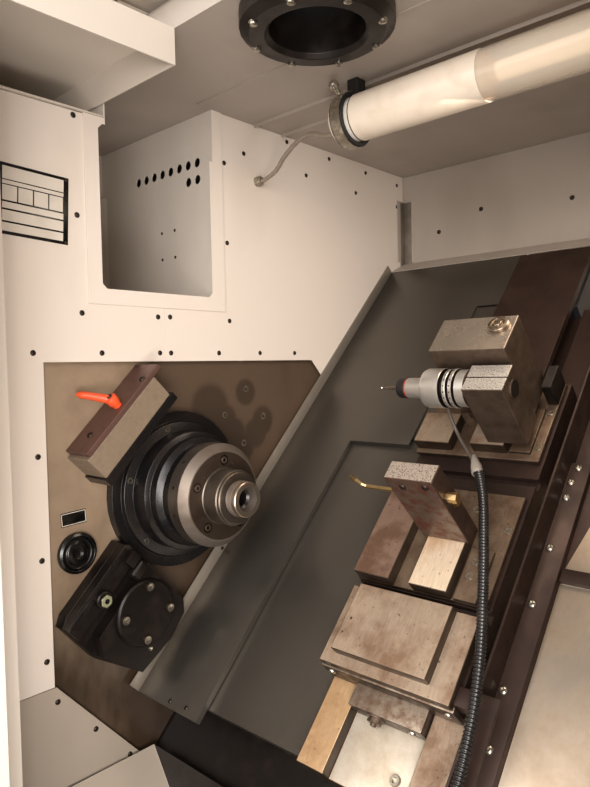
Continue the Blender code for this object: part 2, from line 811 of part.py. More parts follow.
def make_duct():
    low = ceiling_z - 0.030
    wall = duct_bore + 0.004
    turned(
        "duct_flange",
        [(wall, collar_top), (wall, ceiling_z - gap), (duct_flange_radius, ceiling_z - gap),
         (duct_flange_radius, low + 0.008), (duct_flange_radius - 0.012, low), (duct_bore + 0.006, low),
         (duct_bore, low + 0.006), (duct_bore, collar_top)],
        (*duct_centre, 0), (0, 0, 1), black_oxide, steps=32, closed=True,
    )


def make_lamp():
    length = lamp_right - lamp_left
    turned(
        "lamp_tube",
        [(0, length), (lamp_radius, length), (lamp_radius, 0.004), (lamp_radius - 0.004, 0), (0, 0)],
        (lamp_left, lamp_y, lamp_z), (1, 0, 0), lamp_sleeve, steps=28,
    )
    inner = lamp_radius + gap
    clamp = ring("lamp_clamp", inner + 0.006, inner, 0.012, 0.036, (lamp_left, lamp_y, lamp_z),
                 (1, 0, 0), black_oxide, steps=28)
    post = box("clamp_post", (lamp_left + 0.014, lamp_y + 0.004, lamp_z + lamp_radius + 0.003),
               (lamp_left + 0.034, lamp_y + 0.026, ceiling_z - gap))
    fuse(clamp, post)


def make_lamp_cable():
    wall = wall_x + gap
    gland = Vector((wall, -0.0952, lamp_z - 0.0365))
    end_z = lamp_z - 0.012
    points = [(lamp_left - 0.0006, lamp_y, end_z), (lamp_left - 0.012, lamp_y, end_z),
              (lamp_left - 0.035, lamp_y + 0.004, end_z + 0.004),
              (lamp_left - 0.070, lamp_y + 0.012, end_z + 0.018),
              (lamp_left - 0.110, lamp_y + 0.022, end_z + 0.018),
              (lamp_left - 0.150, lamp_y + 0.028, end_z),
              (lamp_left - 0.175, lamp_y + 0.034, end_z - 0.016),
              (wall + 0.022, gland.y, gland.z), (wall + 0.010, gland.y, gland.z)]
    cable = as_mesh(tube("lamp_cable", smooth_route(points, 3), 0.004, black_rubber))
    gland_body = rod("cable_gland", gland, gland + Vector((0.014, 0, 0)), 0.009, sides=12)
    fuse(cable, gland_body)


# Outer enclosure

def make_left_enclosure():
    inner_left = left_side + sheet
    front_back = enclosure_front + sheet
    rear_in = enclosure_rear - sheet
    rear_end = cabinet_x[0] - 0.005
    flange = -0.63
    plan = [(left_side, enclosure_rear), (left_side, enclosure_front), (opening_left, enclosure_front),
            (opening_left, flange), (opening_left - sheet, flange), (opening_left - sheet, front_back),
            (inner_left, front_back), (inner_left, rear_in), (rear_end, rear_in),
            (rear_end, enclosure_rear)]
    shell = as_mesh(prism("left_enclosure", [plan], base_top + gap, shoulder_z, "Z", powder_coat))
    recess_back = wall_x - recess_depth - 0.005
    shoulder_edge = roof_front - 2 * gap
    shoulder_plan = [(left_side, enclosure_front), (wall_x + 0.004, enclosure_front),
                     (wall_x + 0.004, shoulder_edge), (recess_back, shoulder_edge),
                     (recess_back, roof_front + 0.001), (left_side, roof_front + 0.001)]
    shoulder = prism("shoulder_top", [shoulder_plan], shoulder_z - sheet, shoulder_z, "Z")
    riser = box("shoulder_riser", (left_side, roof_front, shoulder_z - sheet),
                (recess_back, roof_front + sheet, ceiling_z - gap))
    side = box("upper_side", (left_side, roof_front, shoulder_z - 0.01),
               (inner_left, enclosure_rear, ceiling_z - gap))
    rear = box("upper_rear", (left_side, rear_in, shoulder_z - 0.01),
               (rear_end, enclosure_rear, ceiling_z - gap))
    fuse(shell, shoulder, riser, side, rear)
    louvres = [
        box(f"louvre_{i}", (left_side - 0.01, -0.42, z), (inner_left + 0.01, -0.17, z + 0.012))
        for i, z in enumerate(base_top + 0.20 + 0.035 * step for step in range(8))
    ]
    cut(shell, *louvres)


def make_right_enclosure():
    front_back = enclosure_front + sheet
    plan = [(opening_right, enclosure_front), (right_side, enclosure_front), (right_side, enclosure_rear),
            (right_wall_x, enclosure_rear), (right_wall_x, front_back), (opening_right + sheet, front_back),
            (opening_right + sheet, -0.63), (opening_right, -0.63)]
    shell = as_mesh(prism("right_enclosure", [plan], base_top + gap, ceiling_z - gap, "Z", powder_coat))
    top = box("front_corner_top", (opening_right + 0.041, enclosure_front, ceiling_z - 0.012),
              (right_side, roof_front - gap, ceiling_z - gap))
    fuse(shell, top, *make_right_covers())
    cut(shell, box("tray_notch", (opening_right - 0.01, -0.66, tray_top - tray_lip - 0.007),
                   (opening_right + 0.026, -0.62, ceiling_z + 0.01)))


def make_control():
    low = (control_x[0], front_face, control_z[0])
    high = (control_x[1], enclosure_front - gap, control_z[1])
    housing = box("control_housing", low, high, powder_coat, bevel=0.008)
    hood = box("control_hood", (control_x[0] + 0.012, front_face - 0.01, control_z[0] + 0.012),
               (control_x[1] - 0.012, control_face, control_z[1] - 0.012))
    screen_z = control_z[0] + 0.28
    screen = box("screen_pocket", (control_x[0] + 0.035, control_face - 0.01, screen_z),
                 (control_x[1] - 0.035, control_face + 0.004, screen_z + 0.16))
    stop_x = control_x[1] - 0.055
    start_x = control_x[0] + 0.05
    wheel_x = control_x[0] + 0.12
    button_z = control_z[0] + 0.05
    wheel_z = control_z[0] + 0.095
    before = control_face - 0.01
    behind = control_face + 0.02
    bores = [
        rod("stop_bore", (stop_x, before, button_z), (stop_x, behind, button_z), 0.0113),
        rod("start_bore", (start_x, before, button_z), (start_x, behind, button_z), 0.0113),
        rod("wheel_bore", (wheel_x, before, wheel_z), (wheel_x, behind, wheel_z), 0.0063),
    ]
    cut(housing, hood, screen, *bores)
    turned(
        "emergency_stop",
        [(0, 0.032), (0.014, 0.032), (0.020, 0.028), (0.020, 0.020), (0.016, 0.016), (0.011, 0.016),
         (0.011, -0.009), (0, -0.009)],
        (stop_x, control_face, button_z), (0, -1, 0), red_plastic, steps=20,
    )
    turned(
        "start_button",
        [(0, 0.012), (0.013, 0.012), (0.014, 0.010), (0.014, 0.006), (0.011, 0.006), (0.011, -0.012),
         (0, -0.012)],
        (start_x, control_face, button_z), (0, -1, 0), green_plastic, steps=20,
    )
    wheel = turned(
        "handwheel",
        [(0, 0.018), (0.026, 0.018), (0.030, 0.015), (0.030, 0.006), (0.027, 0.003), (0.006, 0.003),
         (0.006, -0.018), (0, -0.018)],
        (wheel_x, control_face, wheel_z), (0, -1, 0), black_oxide, steps=24,
    )
    grip_x = wheel_x + 0.02
    grip = rod("wheel_grip", (grip_x, control_face - 0.012, wheel_z),
               (grip_x, control_face - 0.032, wheel_z), 0.0045, sides=10)
    fuse(wheel, grip)


def make_cabinet():
    low = (cabinet_x[0], enclosure_rear + gap, cabinet_z[0])
    high = (cabinet_x[1], cabinet_rear, cabinet_z[1])
    shell = box("electrical_cabinet", low, high, powder_coat)
    inside = box("cabinet_inside", (low[0] + 0.015, low[1] + 0.015, low[2] + 0.015),
                 (high[0] - 0.015, cabinet_rear + 0.01, high[2] - 0.015))
    cut(shell, inside)
    door = box("cabinet_door", (low[0], cabinet_rear + gap, low[2]),
               (high[0], cabinet_rear + 0.018, high[2]), powder_coat, bevel=0.003)
    latch_z = low[2] + 0.74
    grip = box("door_latch", (high[0] - 0.07, cabinet_rear + 0.010, latch_z),
               (high[0] - 0.04, cabinet_rear + 0.030, latch_z + 0.12), bevel=0.003)
    hinges = [
        rod(f"hinge_barrel_{i}", (low[0] - 0.0045, cabinet_rear + 0.0105, z),
            (low[0] - 0.0045, cabinet_rear + 0.0105, z + 0.08), 0.009, sides=12)
        for i, z in enumerate((low[2] + 0.13, low[2] + 0.78, high[2] - 0.20))
    ]
    fuse(door, grip, *hinges)


# Covers over the ways; those on the right share the span left beyond the saddle's guard

guard_x = saddle_right + 0.004
right_span = right_wall_x - wall_x - guard_x


def make_fixed_covers():
    low = cover_top - cover_sheet
    lip = saddle_cover_top + 0.0015
    edge = gap
    strip_right = 0.147
    region_right = 0.275
    inner_s = 0.245
    outline = [(edge, -0.287), (strip_right, -0.287), (strip_right, inner_s), (region_right, inner_s),
               (region_right, 0.7505), (edge, 0.7505)]
    plate = as_mesh(prism("way_cover_fixed", [outline], low, cover_top, "Z", stainless, slant))
    inset = 0.0004
    flange = box("wall_flange", (edge + inset, -0.287 + inset, low + 0.0005),
                 (edge + inset + cover_sheet, 0.7505 - inset, -0.137), frame=slant)
    side_lip = box("strip_lip", (strip_right - inset - cover_sheet, -0.287 + inset, lip),
                   (strip_right - inset, inner_s + 0.001, low + 0.001), frame=slant)
    inner_lip = box("region_lip", (strip_right - 0.0015, inner_s + inset, lip + inset),
                    (region_right - inset, inner_s + inset + cover_sheet, low + 0.0012), frame=slant)
    fuse(plate, flange, side_lip, inner_lip)


def make_right_covers():
    """The bright fixed covers that stand on the right wall."""
    low = cover_top - cover_sheet
    wall = right_wall_x - wall_x
    near = guard_x + right_span * 0.1717
    far = guard_x + right_span * 0.4411
    outline = [(far, -0.287), (wall + 0.001, -0.287), (wall + 0.001, 0.7505), (near, 0.7505),
               (near, 0.245), (far, 0.245)]
    cover = prism("right_cover_sheet", [outline], low, cover_top, "Z", None, slant)
    flange = box("right_cover_flange", (wall - cover_sheet, -0.287, low + 0.0005),
                 (wall + 0.001, 0.7505, -0.137), frame=slant)
    return cover, flange


def make_saddle_covers():
    top = saddle_cover_top
    low = top - cover_sheet
    seat = saddle_left - gap
    left = box("saddle_cover_left", (0.062, -0.263, low), (seat, 0.264, top), stainless, slant)
    lip = box("cover_front_lip", (0.062, -0.263, low - 0.018), (seat, -0.261, low + 0.001), frame=slant)
    riser = box("cover_riser", (0.19, 0.262, low), (seat, 0.264, -0.1615), frame=slant)
    upper = box("cover_upper_sheet", (0.19, 0.262, -0.1635), (seat, 0.60, -0.1615), frame=slant)
    fuse(left, lip, riser, upper)
    sheet_end = guard_x + right_span * 0.3014
    profile = [(guard_x, low), (sheet_end, low), (sheet_end, top), (guard_x + 0.0035, top),
               (guard_x + 0.0035, -0.118), (guard_x, -0.118)]
    right = as_mesh(slant_prism_along_s("saddle_cover_right", profile, -0.265, 0.60, ground_steel))
    ledge = box("right_ledge", (guard_x + 0.002, -0.265, low + 0.0005),
                (guard_x + 0.031, 0.235, cover_top), frame=slant)
    wide = box("right_lower_sheet", (sheet_end - 0.010, -0.265, low),
               (guard_x + right_span * 0.5808, 0.240, top), frame=slant)
    step = box("right_step", (guard_x + 0.0325, 0.052, top - 0.001),
               (guard_x + right_span * 0.4311, 0.070, top + 0.008), frame=slant)
    foot = box("guard_foot", (saddle_right + gap, -0.265, low), (guard_x + 0.001, 0.55, low + 0.012),
               frame=slant)
    fuse(right, ledge, wide, step, foot)


def slant_prism_along_s(name, profile, low, high, material, collection=None):
    """Extrude an outline drawn in X and n up the slope."""
    return prism(name, [profile], low, high, "Y", material, slant, collection)


# Saddle, screws and motors

def make_saddle():
    way_left = saddle_left + slide_way_width
    way_right = table_right + 0.001 - slide_way_width
    underside = way_top + gap
    profile = [(saddle_left, underside), (saddle_right, underside), (saddle_right, saddle_floor),
               (table_right + 0.001, saddle_floor), (table_right + 0.001, slide_way_top),
               (way_right, slide_way_top), (way_right, saddle_floor), (way_left, saddle_floor),
               (way_left, slide_way_top), (saddle_left, slide_way_top)]
    saddle = as_mesh(slant_prism_along_s("saddle", profile, saddle_low_s, saddle_high_s, oiled_steel))
    gibs = []
    for i, centre in enumerate(way_centres_s):
        half = way_width / 2 + gap
        for j, (low, high) in enumerate(((centre - half - 0.030, centre - half),
                                         (centre + half, centre + half + 0.025))):
            gibs.append(box(f"gib_{i}_{j}", (saddle_left, low, bed_top + 0.006),
                            (saddle_right, high, underside + 0.004), frame=slant))
    nut = box("z_nut", (0.40, z_screw_s - 0.025, bed_top + 0.0015),
              (0.48, z_screw_s + 0.025, underside + 0.004), frame=slant)
    fuse(saddle, *gibs, nut)
    trough = box("screw_trough", (x_screw_x - 0.020, -0.20, -0.205), (x_screw_x + 0.020, 0.60, -0.16),
                 frame=slant)
    z_bore = rod("z_nut_bore", (0.30, z_screw_s, z_screw_n), (0.60, z_screw_s, z_screw_n), screw_bore,
                 frame=slant, sides=16)
    x_bore = rod("x_end_bore", (x_screw_x, -0.222, x_screw_n), (x_screw_x, -0.19, x_screw_n), screw_bore,
                 frame=slant, sides=16)
    cut(saddle, trough, z_bore, x_bore)


def make_screws_and_motors():
    start = bed_end + gap
    rod("z_ballscrew", (screw_left_x + 0.0002, z_screw_s, z_screw_n),
        (start + 0.0222, z_screw_s, z_screw_n), screw_radius, ground_steel, slant, 16)
    rod("x_ballscrew", (x_screw_x, -0.2218, x_screw_n), (x_screw_x, 0.585, x_screw_n), screw_radius,
        ground_steel, slant, 16)
    z_motor = box("z_servo_motor", (start, z_screw_s - 0.045, z_screw_n - 0.045),
                  (start + 0.150, z_screw_s + 0.045, z_screw_n + 0.045), motor_paint, slant, 0.006)
    cut(z_motor, rod("z_motor_bore", (start - 0.01, z_screw_s, z_screw_n),
                     (start + 0.0227, z_screw_s, z_screw_n), screw_bore, frame=slant, sides=16))
    x_end = saddle_high_s + gap
    x_motor = box("x_servo_motor", (x_screw_x - 0.045, x_end, x_screw_n - 0.045),
                  (x_screw_x + 0.045, x_end + 0.130, x_screw_n + 0.045), motor_paint, slant, 0.006)
    cut(x_motor, rod("x_motor_bore", (x_screw_x, x_end - 0.01, x_screw_n),
                     (x_screw_x, 0.5853, x_screw_n), screw_bore, frame=slant, sides=16))


# Cross slide and tooling

def make_table():
    slots = []
    for middle in (-0.038, 0.165):
        slots.append((middle - 0.006, middle + 0.006))
    profile = [(table_low_s, table_bottom), (table_high_s, table_bottom), (table_high_s, table_top)]
    for low, high in reversed(slots):
        profile += [(high, table_top), (high, table_top - 0.010), (low, table_top - 0.010),
                    (low, table_top)]
    profile.append((table_low_s, table_top))
    table = as_mesh(prism("gang_table", [profile], table_left, table_right, "X", oiled_steel, slant))
    nut = box("x_nut", (x_screw_x - 0.017, 0.06, -0.203), (x_screw_x + 0.017, 0.12, table_bottom + 0.005),
              frame=slant)
    riser = box("conduit_riser", (0.5305, table_low_s, -0.130), (0.5455, table_low_s + 0.022, -0.112),
                frame=slant)
    arm = box("conduit_arm", (0.5305, table_low_s, -0.1165), (0.580, table_low_s + 0.022, -0.111),
              frame=slant)
    finger = box("conduit_finger", (0.560, -0.290, -0.1165), (0.580, table_low_s + 0.01, -0.111),
                 frame=slant)
    lug = box("conduit_lug", (0.560, -0.290, -0.113), (0.580, -0.282, -0.088), frame=slant)
    fuse(table, nut, riser, arm, finger, lug)
    cut(table, rod("x_nut_bore", (x_screw_x, 0.05, x_screw_n), (x_screw_x, 0.13, x_screw_n), screw_bore,
                   frame=slant, sides=16))


def plate_with_pads(name, low, high, base_top_n, pads, material):
    plate = box(name, (low[0], low[1], table_top + gap), (high[0], high[1], base_top_n), material, slant)
    bevel_edges(plate, 0.001)
    raised = [
        box(f"{name}_pad_{i}", (x0, s0, base_top_n - 0.002), (x1, s1, top), frame=slant, bevel=0.001)
        for i, (x0, x1, s0, s1, top) in enumerate(pads)
    ]
    fuse(plate, *raised)


def make_plates():
    plate_with_pads("tool_plate_front", (0.340, -0.156), (0.530, -0.045), -0.104,
                    [(0.359, 0.499, -0.141, -0.046, pad_top)], oiled_steel)
    plate_with_pads("tool_plate_middle", (0.337, -0.031), (0.530, 0.135), -0.1085,
                    [(0.338, 0.396, -0.0305, 0.130, pad_top), (0.427, 0.483, -0.0305, 0.075, pad_top),
                     (0.486, 0.518, -0.0305, 0.045, -0.1035)], oiled_steel)
    plate_with_pads("tool_plate_rear", (0.333, 0.195), (0.530, 0.345), -0.1085,
                    [(0.334, 0.395, 0.203, 0.262, pad_top), (0.428, 0.482, 0.205, 0.262, pad_top),
                     (0.485, 0.516, 0.206, 0.290, -0.1035), (0.514, 0.529, 0.300, 0.344, -0.070)],
                    oiled_steel)


def make_holders():
    block = box("coolant_block", (coolant_block_x[0], coolant_block_s[0], pad_top + gap),
                (coolant_block_x[1], coolant_block_s[1], coolant_block_top), oiled_steel, slant, 0.0015)
    cut(block, rod("coolant_bore", (0.40, coolant_bore_s, 0), (0.51, coolant_bore_s, 0), 0.0033,
                   frame=slant, sides=12))
    clamp = box("probe_clamp", (probe_clamp_x[0], probe_s - 0.0235, pad_top + gap),
                (probe_clamp_x[1], probe_s + 0.0235, probe_clamp_top), ground_steel, slant, 0.001)
    slit = box("clamp_slit", (0.44, probe_s - 0.001, 0.0), (0.53, probe_s + 0.001, 0.04), frame=slant)
    bore = rod("probe_bore", (0.44, probe_s, 0), (0.53, probe_s, 0), probe_shank + gap, frame=slant,
               sides=24)
    cut(clamp, slit, bore)
    holder = box("rear_holder", (0.394, 0.2625, pad_top + gap), (0.510, 0.329, 0.045), ground_steel, slant,
                 0.001)
    foot = box("holder_foot", (0.400, 0.270, -0.1082), (0.482, 0.325, pad_top + 0.002), frame=slant)
    fuse(holder, foot)


def make_pipe():
    bore_end = coolant_block_x[1] + gap
    points = [(bore_end + 0.004, coolant_bore_s, 0), (0.470, coolant_bore_s, 0),
              (0.440, coolant_bore_s, 0), (0.412, coolant_bore_s, 0), (0.380, coolant_bore_s, 0),
              (0.368, coolant_bore_s, 0.0003), (0.361, coolant_bore_s, 0.004),
              (0.355, coolant_bore_s, 0.013), (0.352, coolant_bore_s, 0.020)]
    pipe = as_mesh(tube("coolant_pipe", points, 0.003, brass, slant))
    fitting = rod("pipe_fitting", (bore_end, coolant_bore_s, 0), (bore_end + 0.014, coolant_bore_s, 0),
                  0.0065, frame=slant, sides=6)
    fuse(pipe, fitting)


def make_probe():
    turned(
        "probe_body",
        [(0, 0.520), (probe_shank, 0.520), (probe_shank, 0.4565), (0.0265, 0.4565), (0.0265, 0.449),
         (0.022, 0.448), (0.022, 0.444), (0.028, 0.443), (0.028, 0.438), (0.023, 0.437), (0.023, 0.431),
         (0.028, 0.430), (0.028, 0.425), (probe_body_radius, 0.424), (probe_body_radius, 0.392),
         (0.026, 0.388), (probe_tube_radius, 0.387), (probe_tube_radius, 0.352), (0.0155, 0.3515),
         (0.0155, 0.343), (0.010, 0.338), (0.0035, 0.338), (0.0035, stylus_pivot_x + 0.002),
         (0, stylus_pivot_x + 0.002)],
        (0, probe_s, 0), (1, 0, 0), ground_steel, slant, 28,
    )
    turned(
        "probe_stylus",
        [(0, stylus_pivot_x + 0.0015), (0.0012, stylus_pivot_x + 0.0015), (0.0014, 0.334), (0.0026, 0.333),
         (0.0026, 0.316), (0.0011, 0.315), (0.0011, 0.307), (0.0020, 0.3058), (0.0020, 0.3045),
         (0, 0.3035)],
        (0, probe_s, 0), (1, 0, 0), ground_steel, slant, 12,
    )


# Route of the probe's cable and its conduit, in the slant frame
cable_radius = 0.0026
conduit_radius = 0.0065
conduit_route = [
    (0.4110, 0.2220, -0.0300, cable_radius), (0.4130, 0.2150, -0.0450, cable_radius),
    (0.4200, 0.2040, -0.0590, cable_radius), (0.4320, 0.1890, -0.0660, cable_radius),
    (0.4490, 0.1710, -0.0700, cable_radius), (0.4630, 0.1560, -0.0730, 0.0050),
    (0.4720, 0.1440, -0.0745, conduit_radius), (0.4900, 0.1060, -0.0770, conduit_radius),
    (0.5060, 0.0600, -0.0800, conduit_radius), (0.5220, 0.0100, -0.0830, conduit_radius),
    (0.5370, -0.0400, -0.0860, conduit_radius), (0.5510, -0.0900, -0.0890, conduit_radius),
    (0.5610, -0.1400, -0.0930, conduit_radius), (0.5670, -0.1900, -0.0970, conduit_radius),
    (0.5700, -0.2350, -0.1000, conduit_radius), (0.5700, -0.2817, -0.1010, conduit_radius),
]


def make_conduit():
    route = smooth_route(conduit_route, 3)
    tube("probe_conduit", [point[:3] for point in route], conduit_radius, black_rubber, slant,
         radii=[point[3] for point in route])


def make_slide_cover():
    low = -0.1255
    high = -0.1235
    slant_prism_along_s("x_way_cover", [(0.345, -0.136), (0.347, -0.136), (0.347, low), (0.480, low),
                                        (0.480, -0.136), (0.482, -0.136), (0.482, high), (0.345, high)],
                        table_high_s + gap, 0.700, brown_plate)


# Sliding door

window_x = (door_left + 0.1065, door_right - 0.1435)
window_z = (base_top + 0.45, base_top + 0.95)
grip_z = (base_top + 0.56, base_top + 0.75)
hanger_top = roof_top + 0.0145


def make_door():
    lip = tray_top - tray_lip
    skin_back = door_front + door_skin
    outline = [(door_front, door_bottom), (door_front, tray_top), (tray_rear, tray_top), (tray_rear, lip),
               (tray_rear - door_skin, lip), (tray_rear - door_skin, tray_top - door_skin),
               (skin_back, tray_top - door_skin), (skin_back, door_bottom)]
    outline.reverse()
    leaf = as_mesh(prism("door_leaf", [outline], door_left, door_right, "X", powder_coat))
    foot = sill_top + 0.003
    flange = [(door_front + 0.0005, foot), (door_front + 0.023, foot),
              (door_front + 0.023, lip), (tray_rear, lip), (tray_rear, tray_top - 0.0005),
              (door_front + 0.0005, tray_top - 0.0005)]
    ends = [
        prism(f"door_end_{i}", [flange], x, x + door_skin, "X")
        for i, x in enumerate((door_left, door_right - door_skin))
    ]
    hangers = []
    for i, x in enumerate((door_left + 0.08, door_right - 0.14)):
        hangers.append(box(f"hanger_post_{i}", (x, -0.456, tray_top - 0.002),
                           (x + 0.06, -0.436, hanger_top)))
        hangers.append(box(f"hanger_hook_{i}", (x, -0.456, roof_top + 0.010 + gap),
                           (x + 0.06, -0.393, hanger_top)))
    shoes = [
        box(f"guide_shoe_{i}", (x, skin_back - 0.001, door_bottom + 0.002),
            (x + 0.05, sill_front - gap, door_bottom + 0.016))
        for i, x in enumerate((door_left + 0.05, door_right - 0.10))
    ]
    grip_x = door_right - 0.055
    root = door_front + 0.002
    grip = [(grip_x, root, grip_z[0]), (grip_x, -0.725, grip_z[0]), (grip_x, -0.735, grip_z[0] + 0.01),
            (grip_x, -0.735, grip_z[1] - 0.01), (grip_x, -0.725, grip_z[1]), (grip_x, root, grip_z[1])]
    handle = tube("door_grip", grip, 0.009, None)
    cut(leaf, box("window_cut", (window_x[0], door_front - 0.01, window_z[0]),
                  (window_x[1], door_front + 0.01, window_z[1])))
    fuse(leaf, *ends, *hangers, *shoes, handle)
    box("door_window", (window_x[0] - 0.02, skin_back + gap, window_z[0] - 0.02),
        (window_x[1] + 0.02, skin_back + 0.006, window_z[1] + 0.02), clear_sheet)


make_base()
make_tank()
make_chute()
make_bed()
make_headstock()
make_bearings()
make_spindle()
make_spindle_cover()
make_pulleys()
make_belt()
make_spindle_motor()
make_clamp()
make_cap()
make_lower_bracket()
make_wall_panels()
make_recess()
make_rear_wall()
make_roof()
make_duct()
make_lamp()
make_lamp_cable()
make_left_enclosure()
make_right_enclosure()
make_control()
make_cabinet()
make_fixed_covers()
make_saddle_covers()
make_saddle()
make_screws_and_motors()
make_table()
make_plates()
make_holders()
make_pipe()
make_probe()
make_conduit()
make_slide_cover()
make_door()
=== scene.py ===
# Dresses a slant bed CNC lathe, seen through its open door, in its real finishes.
import json
import math

import bmesh
import bpy
from mathutils import Matrix, Vector


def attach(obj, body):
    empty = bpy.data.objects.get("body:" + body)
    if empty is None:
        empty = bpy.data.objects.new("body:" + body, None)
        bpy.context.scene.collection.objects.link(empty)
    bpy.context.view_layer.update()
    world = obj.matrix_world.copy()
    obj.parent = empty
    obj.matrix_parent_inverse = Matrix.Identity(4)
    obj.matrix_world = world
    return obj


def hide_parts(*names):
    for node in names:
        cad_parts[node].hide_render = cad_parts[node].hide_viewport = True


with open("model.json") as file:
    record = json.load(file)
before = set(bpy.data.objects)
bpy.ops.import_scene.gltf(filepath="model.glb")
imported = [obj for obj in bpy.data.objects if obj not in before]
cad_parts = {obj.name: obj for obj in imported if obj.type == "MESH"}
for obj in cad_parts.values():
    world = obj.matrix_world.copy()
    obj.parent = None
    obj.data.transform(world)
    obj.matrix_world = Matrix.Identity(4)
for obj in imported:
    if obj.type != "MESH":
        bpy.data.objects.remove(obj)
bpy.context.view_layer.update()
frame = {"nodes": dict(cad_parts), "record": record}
nodes = frame["nodes"]
print("frame loaded:", len(nodes), "nodes")

# All lengths are metres. The slant frame has X from the headstock wall, Y up the slope, Z square off it.
gap = 0.0003
wallX = -0.2425
spindleY = -0.299
spindleZ = 1.07
slantMatrix = Matrix.Translation((wallX, spindleY, spindleZ)) @ Matrix.Rotation(math.radians(45), 4, "X")
rearWallY = 0.4
castingX = -0.01
coverTop = -0.158
toSlant = slantMatrix.inverted()
slopeOut = slantMatrix.to_3x3() @ Vector((0, 0, 1))
slopeUp = slantMatrix.to_3x3() @ Vector((0, 1, 0))
toRight, toFront, toBack = (1, 0, 0), (0, -1, 0), (0, 1, 0)


def slantPoint(x, s, n):
    return slantMatrix @ Vector((x, s, n))


def slantSpots(radius, *points):
    # Places of screws with one head radius, given in the slant frame
    return [(slantPoint(*point), radius) for point in points]


def roundSpindle(turn):
    # The direction square off the spindle's axis at that turn
    return slantMatrix.to_3x3() @ Vector((0, math.cos(turn), math.sin(turn)))


# Camera, at the place worked out from the photograph's straight edges

cameraLook = {
    "place": (0.6575, -0.98, 1.268),
    "yaw": 42.615,
    "pitch": 2.233,
    "roll": 1.184,
    "focalPixels": 662.2,
    "framePixels": 787,
    "sensor": 36.0,
}


def makeCamera():
    # Yaw turns it to the left, pitch down, and roll leans the picture; the focal length is in pixels
    yaw, pitch, roll = (math.radians(cameraLook[k]) for k in ("yaw", "pitch", "roll"))
    ahead = Vector((-math.sin(yaw) * math.cos(pitch), math.cos(yaw) * math.cos(pitch), -math.sin(pitch)))
    level = Vector((math.cos(yaw), math.sin(yaw), 0))
    down = ahead.cross(level)
    right = math.cos(roll) * level + math.sin(roll) * down
    below = -math.sin(roll) * level + math.cos(roll) * down
    data = bpy.data.cameras.new("camera")
    data.sensor_width = cameraLook["sensor"]
    data.lens = cameraLook["sensor"] * cameraLook["focalPixels"] / cameraLook["framePixels"]
    data.clip_start = 0.01
    camera = bpy.data.objects.new("camera", data)
    bpy.context.scene.collection.objects.link(camera)
    turn = Matrix((right, -below, -ahead)).transposed().to_4x4()
    camera.matrix_world = Matrix.Translation(cameraLook["place"]) @ turn
    bpy.context.scene.camera = camera


makeCamera()


# Helpers for materials

def hexToLinear(code):
    channels = [int(code[i:i + 2], 16) / 255 for i in (1, 3, 5)]
    linear = [c / 12.92 if c <= 0.04045 else ((c + 0.055) / 1.055) ** 2.4 for c in channels]
    return (*linear, 1.0)


def perMm(size):
    # Texture scale for a pattern of this size in millimetres
    return 1000.0 / size


def addNode(tree, kind, settings=None, links=None):
    node = tree.nodes.new("ShaderNode" + kind)
    for key, value in (settings or {}).items():
        if isinstance(key, int) or key in node.inputs:
            node.inputs[key].default_value = value
        else:
            setattr(node, key, value)
    for key, socket in (links or {}).items():
        tree.links.new(socket, node.inputs[key])
    return node


def startMaterial(name, look):
    material = bpy.data.materials.new(name)
    material.use_nodes = True
    tree = material.node_tree
    shader = tree.nodes["Principled BSDF"]
    shader.inputs["Base Color"].default_value = hexToLinear(look["colour"])
    for key in look:
        if key != "colour":
            shader.inputs[key].default_value = look[key]
    place = addNode(tree, "TexCoord").outputs["Object"]
    return material, tree, shader, place


def cloudy(tree, place, sizeMm, low, high, detail=4.0, stretch=(1, 1, 1), roughness=0.5, slope=0):
    # A soft noise of that size, turned to 0..1 between two levels; slope turns its grain up the bed
    mapped = addNode(tree, "Mapping", {"vector_type": "TEXTURE", "Rotation": (math.radians(slope), 0, 0),
        "Scale": tuple(1 / s for s in stretch)}, {"Vector": place})
    noise = addNode(tree, "TexNoise", {"Scale": perMm(sizeMm), "Detail": detail, "Roughness": roughness},
        {"Vector": mapped.outputs[0]})
    return addNode(tree, "MapRange", {"From Min": low, "From Max": high},
        {"Value": noise.outputs["Fac"]}).outputs["Result"]


def blendColours(tree, factor, first, second):
    # Each of the two is a hex value or a socket
    mix = addNode(tree, "Mix", {"data_type": "RGBA"}, {0: factor})
    for index, colour in ((6, first), (7, second)):
        if isinstance(colour, str):
            mix.inputs[index].default_value = hexToLinear(colour)
        else:
            tree.links.new(colour, mix.inputs[index])
    return mix.outputs[2]


def varyRoughness(tree, shader, factor, low, high):
    spread = addNode(tree, "MapRange", {"To Min": low, "To Max": high}, {"Value": factor})
    tree.links.new(spread.outputs["Result"], shader.inputs["Roughness"])


def addBump(tree, shader, height, strength, depthMm):
    bump = addNode(tree, "Bump", {"Strength": strength, "Distance": depthMm / 1000}, {"Height": height})
    tree.links.new(bump.outputs[0], shader.inputs["Normal"])


def setColour(tree, shader, socket):
    tree.links.new(socket, shader.inputs["Base Color"])


# Materials

def powderCoat(name, colour, soil, soilLow=0.56):
    # Powder coat is a baked film with a fine orange peel; oil mist leaves it a little darker in clouds
    material, tree, shader, place = startMaterial(name, {"colour": colour, "Roughness": 0.42, "IOR": 1.5})
    stains = cloudy(tree, place, 260, soilLow, 0.85, 5, (1, 1, 0.45))
    setColour(tree, shader, blendColours(tree, stains, colour, soil))
    varyRoughness(tree, shader, cloudy(tree, place, 90, 0.3, 0.7), 0.36, 0.5)
    addBump(tree, shader, cloudy(tree, place, 2.2, 0.3, 0.7, 1), 0.12, 0.15)
    return material


